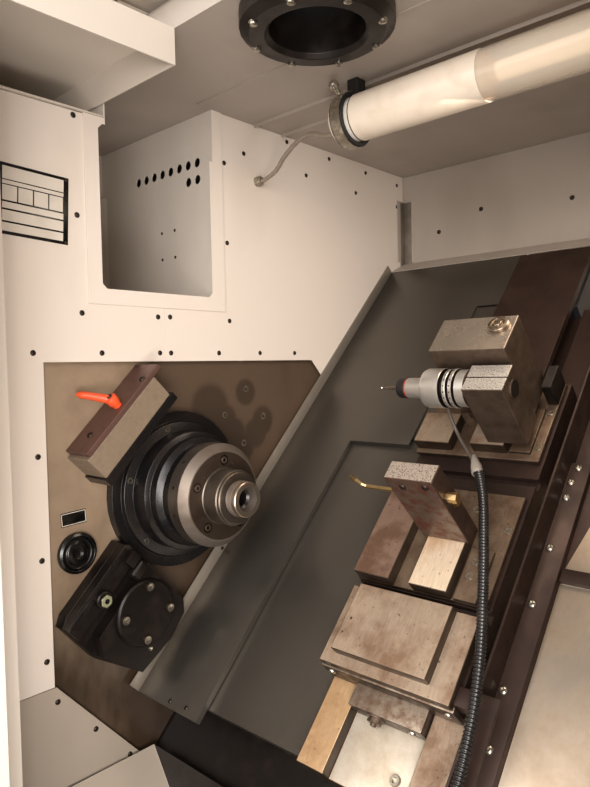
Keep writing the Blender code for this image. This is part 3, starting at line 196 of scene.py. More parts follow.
castingLook = {
    # Middle of each plug hole in Y and Z, and how far its stain has spread
    "plugs": [(-0.1266, 1.2299), (-0.1805, 1.1845), (-0.0835, 1.1761), (-0.135, 1.1288)],
    "stains": [(-0.128, 1.224, 0.026), (-0.182, 1.176, 0.03), (-0.085, 1.168, 0.029), (-0.136, 1.122, 0.028),
        (-0.16, 1.15, 0.03), (-0.105, 1.145, 0.03), (-0.215, 1.2, 0.045)],
    # The soaked part's two edges: axis, where each starts and ends, and how ragged it is
    "soaked": [(1, -0.345, -0.315, 0.05), (2, 1.305, 1.297, 0.03)],
}


def oilyCasting():
    # Cast iron under old khaki paint: fine cast grain, brown oil film, wet patches low down
    look = {"colour": "#8c7459", "Roughness": 0.45, "IOR": 1.5}
    material, tree, shader, place = startMaterial("paintedCasting", look)
    grime = cloudy(tree, place, 170, 0.42, 0.68, 7, (1, 1, 1), 0.6)
    base = blendColours(tree, grime, "#94806a", "#776350")
    # Behind the block the oil has soaked the paint down from an uneven edge near the top
    across = addNode(tree, "SeparateXYZ", None, {0: place})
    edge = cloudy(tree, place, 70, 0.25, 0.75, 5)
    soaked = None
    for axis, low, high, ragged in castingLook["soaked"]:
        moved = addNode(tree, "Math", {"operation": "MULTIPLY_ADD", 1: ragged},
            {0: edge, 2: across.outputs[axis]})
        side = addNode(tree, "MapRange", {"From Min": low, "From Max": high,
            "interpolation_type": "SMOOTHSTEP"}, {"Value": moved.outputs[0]}).outputs["Result"]
        soaked = side if soaked is None else addNode(tree, "Math", {"operation": "MULTIPLY"},
            {0: soaked, 1: side}).outputs[0]
    soaked = addNode(tree, "Math", {"operation": "MULTIPLY", 1: 0.92}, {0: soaked}).outputs[0]
    base = blendColours(tree, soaked, base, "#4b3b2e")
    low = addNode(tree, "MapRange", {"From Min": 1.08, "From Max": 0.78, "interpolation_type": "SMOOTHSTEP"},
        {"Value": across.outputs[2]}).outputs["Result"]
    # Oil weeps from four plug holes and leaves dark rounds that have run together
    wet = None
    for y, z, reach in castingLook["stains"]:
        away = addNode(tree, "VectorMath", {"operation": "DISTANCE", 1: (wallX + castingX, y, z)}, {0: place})
        spot = addNode(tree, "MapRange", {"From Min": reach * 1.15, "From Max": reach * 0.75,
            "interpolation_type": "SMOOTHSTEP"}, {"Value": away.outputs["Value"]}).outputs["Result"]
        wet = spot if wet is None else addNode(tree, "Math", {"operation": "MAXIMUM"},
            {0: wet, 1: spot}).outputs[0]
    wetter = addNode(tree, "Math", {"operation": "MULTIPLY", 1: 0.62}, {0: wet}).outputs[0]
    base = blendColours(tree, wetter, base, "#241a13")
    rough = cloudy(tree, place, 60, 0.3, 0.7, 6, (1, 1, 0.4))
    lower = addNode(tree, "Math", {"operation": "MULTIPLY_ADD", 1: 0.5}, {0: rough, 2: low})
    lower = addNode(tree, "MapRange", {"From Min": 0.3, "From Max": 1.3, "To Max": 0.92},
        {"Value": lower.outputs[0]}).outputs["Result"]
    setColour(tree, shader, blendColours(tree, lower, base, "#2a1d13"))
    varyRoughness(tree, shader, lower, 0.5, 0.27)
    addBump(tree, shader, cloudy(tree, place, 3.0, 0.25, 0.75, 3), 0.25, 0.25)
    return material


def wornMetal(name, colour, metallic, rough, patch, patchMm, soil, grain=1, grainMm=0.8, bump=0.1):
    # Bare metal with a stain in patches and a surface grain, drawn out along the slope where grain is under 1
    look = {"colour": colour, "Metallic": metallic, "Roughness": rough}
    material, tree, shader, place = startMaterial(name, look)
    stains = cloudy(tree, place, patchMm, patch[0], patch[1], 6, (1, 1, 1), 0.6)
    lines = cloudy(tree, place, grainMm, 0.2, 0.8, 2, (1, grain, 1), slope=45)
    tone = blendColours(tree, stains, colour, soil)
    shade = blendColours(tree, addNode(tree, "Math", {"operation": "MULTIPLY", 1: 0.25},
        {0: lines}).outputs[0], tone, soil)
    setColour(tree, shader, shade)
    varyRoughness(tree, shader, stains, rough - 0.06, rough + 0.16)
    addBump(tree, shader, lines, bump, 0.12)
    return material


def turnedRings(name, colour, metallic, rough, pitchMm, soil):
    # Lathe-turned metal keeps fine tool rings round its axis
    look = {"colour": colour, "Metallic": metallic, "Roughness": rough}
    material, tree, shader, place = startMaterial(name, look)
    rings = addNode(tree, "TexNoise", {"noise_dimensions": "1D", "Scale": perMm(pitchMm), "Detail": 3.0})
    parts = addNode(tree, "SeparateXYZ", None, {0: place})
    reach = addNode(tree, "VectorMath", {"operation": "LENGTH"},
        {0: addNode(tree, "CombineXYZ", None, {0: parts.outputs[0], 1: parts.outputs[1]}).outputs[0]})
    along = addNode(tree, "Math", {"operation": "ADD"}, {0: parts.outputs[2], 1: reach.outputs["Value"]})
    tree.links.new(along.outputs[0], rings.inputs["W"])
    stains = cloudy(tree, place, 45, 0.45, 0.75, 6)
    setColour(tree, shader, blendColours(tree, stains, colour, soil))
    varyRoughness(tree, shader, rings.outputs["Fac"], rough - 0.07, rough + 0.1)
    addBump(tree, shader, rings.outputs["Fac"], 0.12, 0.08)
    return material


def plainPlastic(name, colour, rough, soil, grainMm=1.2, bump=0.15, ior=1.5):
    # Moulded plastic and rubber carry the spark-eroded grain of the mould
    material, tree, shader, place = startMaterial(name, {"colour": colour, "Roughness": rough, "IOR": ior})
    dust = cloudy(tree, place, 30, 0.5, 0.8, 5)
    setColour(tree, shader, blendColours(tree, dust, colour, soil))
    varyRoughness(tree, shader, dust, rough, rough + 0.12)
    addBump(tree, shader, cloudy(tree, place, grainMm, 0.3, 0.7, 2), bump, 0.1)
    return material


def oiledSteel(name, colour, copper, dark, patchMm):
    # Ground tooling plate that cutting oil has browned: grey where it is wiped, copper where it dried
    look = {"colour": colour, "Metallic": 0.55, "Roughness": 0.36}
    material, tree, shader, place = startMaterial(name, look)
    dried = cloudy(tree, place, patchMm, 0.42, 0.62, 7, (1, 1, 1), 0.62)
    spots = cloudy(tree, place, 5, 0.66, 0.76, 3)
    scratches = cloudy(tree, place, 1.1, 0.3, 0.75, 3, (1, 0.06, 1), slope=45)
    base = blendColours(tree, dried, colour, copper)
    base = blendColours(tree, spots, base, dark)
    thin = addNode(tree, "Math", {"operation": "MULTIPLY", 1: 0.28}, {0: scratches})
    base = blendColours(tree, thin.outputs[0], base, dark)
    # Faces that turn away from the slope's normal blend towards the dark colour: painted shade on the sides
    lean = addNode(tree, "VectorMath", {"operation": "DOT_PRODUCT", 1: slopeOut},
        {0: addNode(tree, "NewGeometry").outputs["Normal"]})
    side = addNode(tree, "MapRange", {"From Min": 0.9, "From Max": 0.5, "To Max": 0.8},
        {"Value": lean.outputs["Value"]}).outputs["Result"]
    setColour(tree, shader, blendColours(tree, side, base, dark))
    varyRoughness(tree, shader, dried, 0.3, 0.52)
    addBump(tree, shader, scratches, 0.12, 0.1)
    return material


print("making materials")

# Each is named for the real material and how its surface was made, or for the painted light or shade it
# stands for; the note says what that gives the eye
finishes = {
    "wall": powderCoat("powderCoatWarm", "#e0d5ca", "#cdc0b1"),  # warm white film, lightly soiled
    # the same film, darker: painted shade low down, with grime from oil and chips
    "wallLow": powderCoat("powderCoatLow", "#a5998c", "#8f8375", 0.5),
    "wallShade": powderCoat("powderCoatShaded", "#a79e95", "#90867b", 0.5),  # painted shade, away from the door
    "ceilingShade": powderCoat("powderCoatCeiling", "#a59a90", "#8b8076", 0.5),  # grey: painted shade on the faces that look down
    "recessPaint": powderCoat("powderCoatRecess", "#cfc7bd", "#b5aba0", 0.5),  # pale with soft shade
    "outside": powderCoat("powderCoatOutside", "#d2c8bc", "#c4b9aa", 0.6),  # an even cream skin
    "grey": powderCoat("powderCoatGrey", "#6d6962", "#5a564f", 0.55),  # a flat dark base
    "casting": oilyCasting(),
    # dull grey with a brown bloom
    "castIron": wornMetal("machinedCastIron", "#5b554e", 0.6, 0.5, (0.4, 0.7), 60, "#3b3128"),
    # deep black with a thin ring gloss
    "blackRing": turnedRings("blackAnodisedSteel", "#171617", 0.3, 0.27, 0.9, "#241e1c"),
    # a brown, half wiped face
    "stainedFace": turnedRings("coolantStainedSteel", "#463a31", 0.7, 0.45, 0.8, "#332820"),
    # a grey neck under oil
    "stainedNeck": turnedRings("oiledTurnedSteel", "#6c645c", 0.85, 0.38, 0.8, "#514539"),
    "turned": turnedRings("turnedSteel", "#80766d", 0.8, 0.52, 0.8, "#675a4f"),  # soft silver with fine rings
    # brighter, rubbed by the draw nut
    "bronzeNose": turnedRings("steelWithOilTint", "#a79a8a", 0.9, 0.32, 0.9, "#86725c"),
    # matt black, brown where it is dry
    "blackSteel": wornMetal("blackOxideSteel", "#161210", 0.4, 0.42, (0.45, 0.75), 30, "#241b16", 1, 1.5,
        0.2),
    # a plum brown sheen
    "brownPlate": wornMetal("brownedSteel", "#6b4e46", 0.4, 0.45, (0.4, 0.7), 60, "#4f3832"),
    # soft khaki with no metal glint
    "tanBlock": wornMetal("khakiEnamel", "#80705f", 0.0, 0.5, (0.35, 0.8), 7, "#6f604f", 1, 2.0, 0.3),
    # a dark even sheen
    "darkCover": wornMetal("darkStainlessSheet", "#625d57", 0.8, 0.34, (0.35, 0.75), 190, "#625d56", 0.03,
        1.0, 0.0),
    # long bright streaks
    "brightCover": wornMetal("brushedStainlessSheet", "#b8aa9a", 0.9, 0.34, (0.4, 0.75), 90, "#8a7864", 0.04,
        1.0, 0.07),
    # a dark brown strip that looks wet
    "guard": wornMetal("brownGuardStrip", "#40302a", 0.5, 0.38, (0.35, 0.7), 60, "#241813", 0.05, 1.2, 0.1),
    # rubbed back to tan
    "wornEdge": wornMetal("wornGuardEdge", "#7d6b5a", 0.6, 0.4, (0.4, 0.8), 120, "#4a3a2f", 0.3, 1.2, 0.06),
    # a pale satin edge
    "coverEdge": wornMetal("brightFlangeEdge", "#9a9287", 0.55, 0.42, (0.45, 0.8), 160, "#857d71", 0.03, 1.0,
        0.0),
    "saddle": oiledSteel("oiledCastSteel", "#6b5d50", "#5f4c3a", "#231b15", 55),  # dark and oily
    "plate": oiledSteel("oilBrownedPlate", "#b5a18c", "#856b56", "#2c2018", 60),  # a grey brown top
    "plateBrown": oiledSteel("oilBrownedPad", "#93796a", "#6b5040", "#2c2018", 45),  # a browner pad
    # a pale warm top, brightened with painted light
    "plateLitTop": oiledSteel("oilBrownedPlateLitTop", "#ffeacd", "#cfac8a", "#4c382b", 85),
    # painted shade for the plates' sides
    "plateShadedSide": oiledSteel("oilBrownedPlateShadedSide", "#84705d", "#5b4737", "#1f1610", 50),
    # a pale channel floor
    "wipedSteel": wornMetal("wipedChannelSteel", "#dcd3c4", 0.45, 0.36, (0.4, 0.75), 50, "#a8977f", 0.08, 1.2,
        0.08),
    "tableEnd": oiledSteel("oilStainedTableEnd", "#8f8172", "#6b5443", "#241a14", 14),  # a blotched end face
    "block": oiledSteel("oilBrownedBlock", "#ab9a8c", "#9b4c39", "#33251d", 14),  # copper red stains
    "blockShadedSide": oiledSteel("oilBrownedBlockShadedSide", "#6b5749", "#5f4234", "#2d201a", 20),  # painted shade on its oily sides
    "goldRail": oiledSteel("oilGildedSteel", "#d2b088", "#a9835c", "#4c3a28", 80),  # straw gold
    # fine grind lines with a clear shine
    "ground": wornMetal("groundSteel", "#a89c8e", 1.0, 0.3, (0.45, 0.75), 24, "#7a6a58", 0.05, 0.7, 0.1),
    # the same, with painted light for the holder's top
    "groundLitTop": wornMetal("groundSteelLitTop", "#b9aea0", 0.85, 0.3, (0.5, 0.8), 40, "#a3978a", 0.05, 0.7,
        0.0),
    # bright with dark pits
    "speckled": wornMetal("pittedGroundSteel", "#ded8cf", 0.6, 0.34, (0.54, 0.6), 1.5, "#5f564c", 1, 0.9,
        0.08),
    # warmer, with pits
    "speckledBlock": wornMetal("pittedBlockTop", "#cbbfb2", 0.6, 0.34, (0.52, 0.6), 1.8, "#6e5a4c", 1, 0.9,
        0.08),
    # dimmed by oil; on the holder's and clamp's sides it is painted shade
    "groundDark": wornMetal("oiledAndShadedGroundSteel", "#6d5d50", 0.7, 0.4, (0.4, 0.7), 30, "#45372d", 0.1, 0.9,
        0.08),
    "probeBody": turnedRings("satinNickel", "#d5d1ca", 0.8, 0.3, 0.8, "#bab3a8"),  # an even satin silver
    # sharp highlights
    "brightSteel": wornMetal("polishedSteel", "#c9c2b8", 1.0, 0.2, (0.5, 0.85), 14, "#9b8f80", 1, 1.0, 0.03),
    # a dull gold tube
    "brass": wornMetal("drawnBrass", "#b39b70", 1.0, 0.34, (0.45, 0.8), 12, "#8c6a35", 1, 1.0, 0.04),
    # near black heads
    "screw": wornMetal("blackOxideScrew", "#2a2320", 0.7, 0.35, (0.4, 0.8), 6, "#45382e", 1, 1.0, 0.05),
    # silver grey heads
    "zinc": wornMetal("zincPlatedSteel", "#b9b3a6", 0.95, 0.3, (0.4, 0.8), 6, "#8d8576", 1, 1.0, 0.05),
    "orange": plainPlastic("orangeGlassNylon", "#e2552c", 0.38, "#cf4a25"),  # a clear bright orange
    "red": plainPlastic("redAbs", "#c2231b", 0.35, "#b01e18"),  # a warning red
    "green": plainPlastic("greenAbs", "#2f9a50", 0.35, "#298a47"),  # a calm green
    "black": plainPlastic("blackAbs", "#070707", 0.22, "#0d0d0d", 1.2, 0.04),  # a glossy black cap
    # a highlight on each black rib
    "conduit": plainPlastic("blackCorrugatedNylon", "#1b1a1a", 0.26, "#2a2624"),
    "redBand": plainPlastic("redAnodisedRing", "#a3312a", 0.4, "#8a2a24"),  # a thin dark red ring
    "rubber": plainPlastic("blackNitrileRubber", "#141313", 0.5, "#211f1d"),  # soft black
    "keypad": plainPlastic("greyKeypadFilm", "#4b4d50", 0.5, "#56585a"),  # a matt grey film
    "key": plainPlastic("paleKeyAbs", "#c9c7c1", 0.42, "#bdbab3"),  # pale caps
    "cable": plainPlastic("greyPvcCable", "#85786b", 0.45, "#6d6156"),  # grey brown, a little shiny
    "darkCable": plainPlastic("darkPvcCable", "#4f4740", 0.4, "#413a34"),  # a dull dark lead
    "boot": plainPlastic("greyRubberBoot", "#8d857c", 0.42, "#7a7269"),  # mid grey and soft
    "enamel": plainPlastic("blackMotorEnamel", "#232427", 0.38, "#2f2e2d", 2.0, 0.3),  # thick black paint
    # a milky tube that glows
    "sleeve": plainPlastic("opalAcrylic", "#dccfbe", 0.3, "#cfc0ad", 3.0, 0.02, 1.49),
    "lampCap": plainPlastic("paleLampCap", "#d9d2c8", 0.35, "#c9c0b4"),  # off white
    "warmCap": plainPlastic("warmLampHolder", "#c79a5c", 0.4, "#b58a50"),  # amber
    "paleNut": plainPlastic("yellowPassivatedNut", "#7f8066", 0.35, "#5f5f4c"),  # olive yellow
    "trim": wornMetal("galvanisedTrim", "#8f877d", 0.7, 0.45, (0.4, 0.75), 40, "#6d6459"),  # grey spangle
    "yellow": plainPlastic("yellowAbs", "#d9a91e", 0.35, "#c99c1a"),  # a strong yellow collar
    "greyPlastic": plainPlastic("lightGreyAbs", "#a9a6a0", 0.42, "#9c9992"),  # light grey slats
    "signPaper": plainPlastic("printedVinyl", "#d9d0c4", 0.4, "#cdc3b5"),  # bare pale fields
}


def clearPlastic(name, colour, alpha, roughness):
    # Polycarbonate and acrylic: clear with a sharp gloss; alpha lets the shadows through
    look = {"colour": colour, "Roughness": roughness, "IOR": 1.55, "Alpha": alpha}
    material, tree, shader, place = startMaterial(name, look)
    varyRoughness(tree, shader, cloudy(tree, place, 40, 0.3, 0.8, 5), roughness, roughness + 0.08)
    return material


def screenGlass():
    # The panel's display is switched off, so it is dark glass with a faint tint
    look = {"colour": "#1a2126", "Roughness": 0.12, "IOR": 1.52, "Coat Weight": 0.5}
    material, tree, shader, place = startMaterial("darkScreenGlass", look)
    varyRoughness(tree, shader, cloudy(tree, place, 60, 0.4, 0.7), 0.08, 0.16)
    return material


finishes["window"] = clearPlastic("clearPolycarbonate", "#cfd6d3", 0.28, 0.06)
finishes["lampClear"] = clearPlastic("clearAcrylicTube", "#e9dfcf", 0.35, 0.05)
finishes["screen"] = screenGlass()


def litTube():
    # The fluorescent tube inside the clear half of the lamp is on, but dim beside the studio light
    material, tree, shader, place = startMaterial("litPhosphor",
        {"colour": "#f2dcc0", "Roughness": 0.5, "Emission Strength": 0.35})
    shader.inputs["Emission Color"].default_value = hexToLinear("#ffdcae")
    setColour(tree, shader, blendColours(tree, cloudy(tree, place, 80, 0.3, 0.7), "#f2dcc0", "#e6cba8"))
    return material


finishes["glow"] = litTube()


# Helpers for shapes

nodeBodies = {node: body for body, group in frame["record"]["behaviour"]["bodies"].items() for node in group}


def smooth(mesh, angle=35):
    mesh.shade_smooth()
    mesh.set_sharp_from_angle(angle=math.radians(angle))


def placePiece(name, mesh, finish, body, matrix=None, angle=35):
    # Puts a mesh in the scene in its finish and lets it ride on the body; edges over the angle stay sharp
    piece = bpy.data.objects.new(name, mesh)
    bpy.context.scene.collection.objects.link(piece)
    mesh.materials.append(finishes[finish])
    if matrix is not None:
        piece.matrix_world = matrix
    smooth(mesh, angle)
    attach(piece, body)
    return piece


def facing(place, direction, spin=0.0):
    # A matrix that stands at the place with its Z along the direction
    turn = Vector(direction).normalized().to_track_quat("Z", "Y").to_matrix().to_4x4()
    return Matrix.Translation(place) @ turn @ Matrix.Rotation(math.radians(spin), 4, "Z")


def hexReach(turn):
    # How far a hexagon reaches at that turn, against its corners
    part = (turn + math.pi / 6) % (math.pi / 3) - math.pi / 6
    return math.cos(math.pi / 6) / math.cos(part)


def addRings(shape, matrix, profile, steps=24, closed=False, bands=None):
    # Sweeps (radius, height) points round Z; a third entry "hex" makes that ring six sided
    rings = []
    for radius, height, *kind in profile:
        if radius == 0:
            rings.append([shape.verts.new(matrix @ Vector((0, 0, height)))])
            continue
        ringVerts = []
        for i in range(steps):
            turn = 2 * math.pi * i / steps
            reach = radius * (hexReach(turn) * 1.1547 if kind else 1.0)
            ringVerts.append(shape.verts.new(matrix @ Vector((reach * math.cos(turn), reach * math.sin(turn),
                height))))
        rings.append(ringVerts)
    pairs = list(zip(rings, rings[1:]))
    if closed:
        pairs.append((rings[-1], rings[0]))
    for index, (first, second) in enumerate(pairs):
        for i in range(steps):
            j = (i + 1) % steps
            corners = [first[i % len(first)], second[i % len(second)], second[j % len(second)],
                first[j % len(first)]]
            corners = list(dict.fromkeys(corners))
            if len(corners) > 2:
                face = shape.faces.new(corners)
                face.material_index = (bands or {}).get(index, 0)


def meshFrom(name, build):
    shape = bmesh.new()
    build(shape)
    bmesh.ops.recalc_face_normals(shape, faces=shape.faces)
    mesh = bpy.data.meshes.new(name)
    shape.to_mesh(mesh)
    shape.free()
    return mesh


def formPiece(name, build, finish, body, matrix=None, angle=35):
    # A piece whose shape the function build draws
    return placePiece(name, meshFrom(name, build), finish, body, matrix, angle)


def lathe(name, profile, place, direction, finish, body, steps=64, closed=False, replaces=(), angle=20,
        extra=None, bands=None):
    # The piece keeps its own Z along the axis, which the turned finishes rely on
    # bands gives chosen strips of the profile another finish
    others = sorted(bands or {})
    chosen = {index: others.index(other) + 1 for other in others for index in bands[other]}

    def build(shape):
        addRings(shape, Matrix.Identity(4), profile, steps, closed, chosen)
        if extra:
            extra(shape)
    piece = formPiece(name, build, finish, body, facing(place, direction), angle)
    for other in others:
        piece.data.materials.append(finishes[other])
    if replaces:
        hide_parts(*replaces)
    return piece


def addBlock(shape, low, high, matrix=None, bevel=0.0005):
    # A block between two corners with its edges broken
    low, high = Vector(low), Vector(high)
    made = bmesh.ops.create_cube(shape, size=1.0)["verts"]
    for vert in made:
        vert.co = Vector([low[k] if vert.co[k] < 0 else high[k] for k in range(3)])
    if bevel:
        edges = {edge for vert in made for edge in vert.link_edges}
        made = bmesh.ops.bevel(shape, geom=list(edges), offset=bevel, segments=2, affect="EDGES",
            profile=0.5)["verts"]
    if matrix is not None:
        bmesh.ops.transform(shape, matrix=matrix, verts=list(made))


def blocks(name, boxes, finish, body, matrix=None, bevel=0.0005):
    def build(shape):
        for low, high in boxes:
            addBlock(shape, low, high, None, bevel)
    return formPiece(name, build, finish, body, matrix)


def prism(name, outline, low, high, finish, body, matrix=None):
    # An outline in the matrix's X and Y, drawn out along its Z, with its edges just broken
    edge = 0.0003

    def build(shape):
        ends = [[shape.verts.new((x, y, z)) for x, y in outline] for z in (low, high)]
        shape.faces.new(list(reversed(ends[0])))
        shape.faces.new(ends[1])
        for i in range(len(outline)):
            j = (i + 1) % len(outline)
            shape.faces.new((ends[0][i], ends[0][j], ends[1][j], ends[1][i]))
        bmesh.ops.recalc_face_normals(shape, faces=shape.faces)
        bmesh.ops.bevel(shape, geom=shape.edges, offset=edge, segments=2, affect="EDGES", profile=0.5)
        if matrix:
            bmesh.ops.transform(shape, matrix=matrix, verts=shape.verts)
    return formPiece(name, build, finish, body, angle=25)


# Heights up the slope where a long face changes its finish
finishCuts = {"saddle": 0.2}


def softCopy(node, finish, edge=0.0006, regions=()):
    # The node's own shape with its sharp edges broken, as a press brake or a mill leaves them
    shape = bmesh.new()
    shape.from_mesh(nodes[node].data)
    bmesh.ops.remove_doubles(shape, verts=shape.verts, dist=0.00001)
    bmesh.ops.dissolve_limit(shape, angle_limit=math.radians(0.6), verts=shape.verts, edges=shape.edges)
    if node in finishCuts:
        bmesh.ops.bisect_plane(shape, geom=shape.verts[:] + shape.edges[:] + shape.faces[:],
            plane_co=slantPoint(0, finishCuts[node], 0), plane_no=slopeUp)
    mesh = bpy.data.meshes.new(node + "Soft")
    shape.to_mesh(mesh)
    shape.free()
    piece = placePiece(node + "Soft", mesh, finish, nodeBodies[node])
    # A region is a finish and a test on a face's middle and normal in the slant frame
    for index, (other, test) in enumerate(regions):
        mesh.materials.append(finishes[other])
        for face in mesh.polygons:
            if test(toSlant @ face.center, toSlant.to_3x3() @ face.normal):
                face.material_index = index + 1
    bevel = piece.modifiers.new("brokenEdges", "BEVEL")
    bevel.width = edge
    bevel.segments = 2
    bevel.limit_method = "ANGLE"
    bevel.angle_limit = math.radians(32)
    bevel.harden_normals = True
    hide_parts(node)
    return piece


screwKinds = {
    # Profiles for a head radius of 1: height and recess follow it
    "socket": [(1, 0), (1, 0.85), (0.9, 1.0), (0.5, 1.0, "hex"), (0.5, 0.45, "hex"), (0, 0.4)],
    "button": [(1, 0), (0.97, 0.2), (0.8, 0.42), (0.48, 0.55, "hex"), (0.48, 0.2, "hex"), (0, 0.15)],
    "pan": [(1, 0), (0.95, 0.28), (0.72, 0.48), (0.35, 0.56), (0.12, 0.57), (0.1, 0.3), (0, 0.25)],
    "hexBolt": [(1.15, 0), (1.15, 0.15), (0.9, 0.16, "hex"), (0.9, 0.75, "hex"), (0.78, 0.85), (0, 0.86)],
    "plug": [(1, 0), (1, 0.02), (0.86, 0.04), (0.8, 0.01), (0, 0.005)],
    "flatSocket": [(1, 0), (1, 0.06), (0.55, 0.05, "hex"), (0.5, 0.02, "hex"), (0, 0.015)],
}


def screws(name, kind, finish, body, spots, direction, sink=0.0003):
    # spots are (place, head radius); the recess is drawn shallow so that the head stays a closed form
    def build(shape):
        for index, (place, radius) in enumerate(spots):
            matrix = facing(Vector(place) - Vector(direction).normalized() * sink, direction, 37 * index)
            addRings(shape, matrix, [(r * radius, h * radius, *k) for r, h, *k in screwKinds[kind]], 18)
    return formPiece(name, build, finish, body)


def smoothRoute(points, steps):
    # A smooth curve through the points, with the given steps between each two
    route = []
    last = len(points) - 1
    for i in range(last):
        a, b, c, d = points[max(i - 1, 0)], points[i], points[i + 1], points[min(i + 2, last)]
        for step in range(steps):
            t = step / steps
            route.append(tuple(
                0.5 * (2 * q + t * (r - p + t * (2 * p - 5 * q + 4 * r - s + t
                    * (3 * q - p - 3 * r + s)))) for p, q, r, s in zip(a, b, c, d)))
    route.append(tuple(points[last]))
    return route


def sweep(shape, points, radii, sides=16):
    # A round tube along the points, with its own radius at each
    points = [Vector(p) for p in points]
    normal = None
    rings = []
    for i, here in enumerate(points):
        ahead = (points[min(i + 1, len(points) - 1)] - points[max(i - 1, 0)]).normalized()
        if normal is None:
            normal = ahead.orthogonal().normalized()
        normal = (normal - ahead * normal.dot(ahead)).normalized()
        side = ahead.cross(normal)
        rings.append([shape.verts.new(here + (normal * math.cos(t) + side * math.sin(t)) * radii[i])
            for t in (2 * math.pi * k / sides for k in range(sides))])
    for first, second in zip(rings, rings[1:]):
        for k in range(sides):
            shape.faces.new((first[k], first[(k + 1) % sides], second[(k + 1) % sides], second[k]))
    shape.faces.new(rings[0])
    shape.faces.new(list(reversed(rings[-1])))


# Cords: the lamp's cable to its gland in the wall, and the probe's cable in its conduit

print("laying cables")
lampCableLook = {
    "diameter": 0.008,
    "route": [(-0.0131, -0.134, 1.643), (-0.0245, -0.134, 1.643), (-0.0475, -0.13, 1.647),
        (-0.0825, -0.122, 1.661), (-0.1225, -0.112, 1.661), (-0.1625, -0.106, 1.643), (-0.1875, -0.1, 1.627),
        (-0.2202, -0.0952, 1.6185), (-0.2322, -0.0952, 1.6185)],
}
probeCableLook = {
    "diameter": 0.013,
    "route": [(0.411, 0.222, -0.03, 0.0026), (0.413, 0.215, -0.045, 0.0026), (0.42, 0.204, -0.059, 0.0026),
        (0.432, 0.189, -0.066, 0.0026), (0.449, 0.171, -0.07, 0.0026), (0.463, 0.156, -0.073, 0.005),
        (0.472, 0.144, -0.0745, 0.0069), (0.49, 0.106, -0.077, 0.0069), (0.506, 0.06, -0.08, 0.0069),
        (0.522, 0.01, -0.083, 0.0069), (0.537, -0.04, -0.086, 0.0069), (0.551, -0.09, -0.089, 0.0069),
        (0.561, -0.14, -0.093, 0.0069), (0.567, -0.19, -0.097, 0.0069), (0.57, -0.235, -0.1, 0.0069),
        (0.57, -0.2817, -0.101, 0.0069)],
    "ribMm": 4.4,
    "ribDepth": 0.0019,
}


def layLampCable():
    route = smoothRoute(lampCableLook["route"], 3)
    radius = lampCableLook["diameter"] / 2
    cable = formPiece("lampCable", lambda shape: sweep(shape, route, [radius] * len(route), 14), "cable",
        "frame")
    end = route[-1]
    gland = lathe("lampGland", [(0, 0), (0.0095, 0), (0.0095, 0.003), (0.0085, 0.0035, "hex"),
        (0.0085, 0.009, "hex"), (0.0075, 0.0095), (0.0062, 0.0135), (0.0043, 0.014), (0, 0.014)],
        (wallX + gap, end[1], end[2]), toRight, "zinc", "frame", 24)
    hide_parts("lamp_cable")


def layProbeCable():
    # The conduit's ribs are drawn at their real pitch; the bare cable leads out of it to the probe
    fine = smoothRoute(probeCableLook["route"], 60)
    points = [tuple(slantPoint(*point[:3])) for point in fine]
    radii = []
    run = 0.0
    for i, point in enumerate(fine):
        run += (Vector(points[i]) - Vector(points[max(i - 1, 0)])).length
        rib = 0.5 + 0.5 * math.cos(2 * math.pi * run / (probeCableLook["ribMm"] / 1000))
        depth = probeCableLook["ribDepth"] if point[3] > 0.006 else 0
        radii.append(point[3] - depth * (1 - rib))
    mesh = meshFrom("probeConduit", lambda shape: sweep(shape, points, radii, 14))
    conduit = placePiece("probeConduit", mesh, "conduit", "cross_slide", angle=75)
    mesh.materials.append(finishes["darkCable"])
    for face in mesh.polygons:
        if (toSlant @ face.center).x < 0.464:
            face.material_index = 1
    start = slantPoint(0.463, 0.156, -0.073)
    ahead = slantPoint(0.49, 0.106, -0.077) - start
    boot = lathe("conduitBoot", [(0.0028, -0.016), (0.0042, -0.014), (0.0062, -0.002), (0.0078, 0.004),
        (0.0082, 0.012), (0.0082, 0.016), (0.0074, 0.017), (0.0066, 0.017)], start, ahead, "boot",
        "cross_slide", 24, angle=40)
    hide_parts("probe_conduit")


layLampCable()
layProbeCable()


# Headstock face

print("turning the spindle")
spindleLook = {
    "profile": [(0.0185, 0.1725), (0.0258, 0.1725), (0.0272, 0.1713), (0.0272, 0.164), (0.0262, 0.1634),
        (0.0262, 0.153), (0.027, 0.1524), (0.0385, 0.1524), (0.04, 0.1512), (0.0402, 0.1488),
        (0.0415, 0.1484), (0.043, 0.147), (0.0432, 0.1455), (0.0432, 0.1195), (0.0445, 0.1181),
        (0.0685, 0.118), (0.0705, 0.1175), (0.0808, 0.1072), (0.0816, 0.106), (0.0816, 0.0825),
        (0.0809, 0.0817), (0.045, 0.0815), (0.045, -0.48), (0.013, -0.48), (0.013, 0.155), (0.0165, 0.158)],
    # The flange's face is stained by coolant, the thread end is polished by use, and the bore takes the black
    # finish as painted shade
    "bands": {"stainedFace": [14], "stainedNeck": [*range(6, 14), 18], "bronzeNose": [0, 1, 2],
        "blackRing": [23, 24]},
    "bolts": 5,
    "turn": 43,
    "face": 0.118,
    "rim": 0.0816,
}


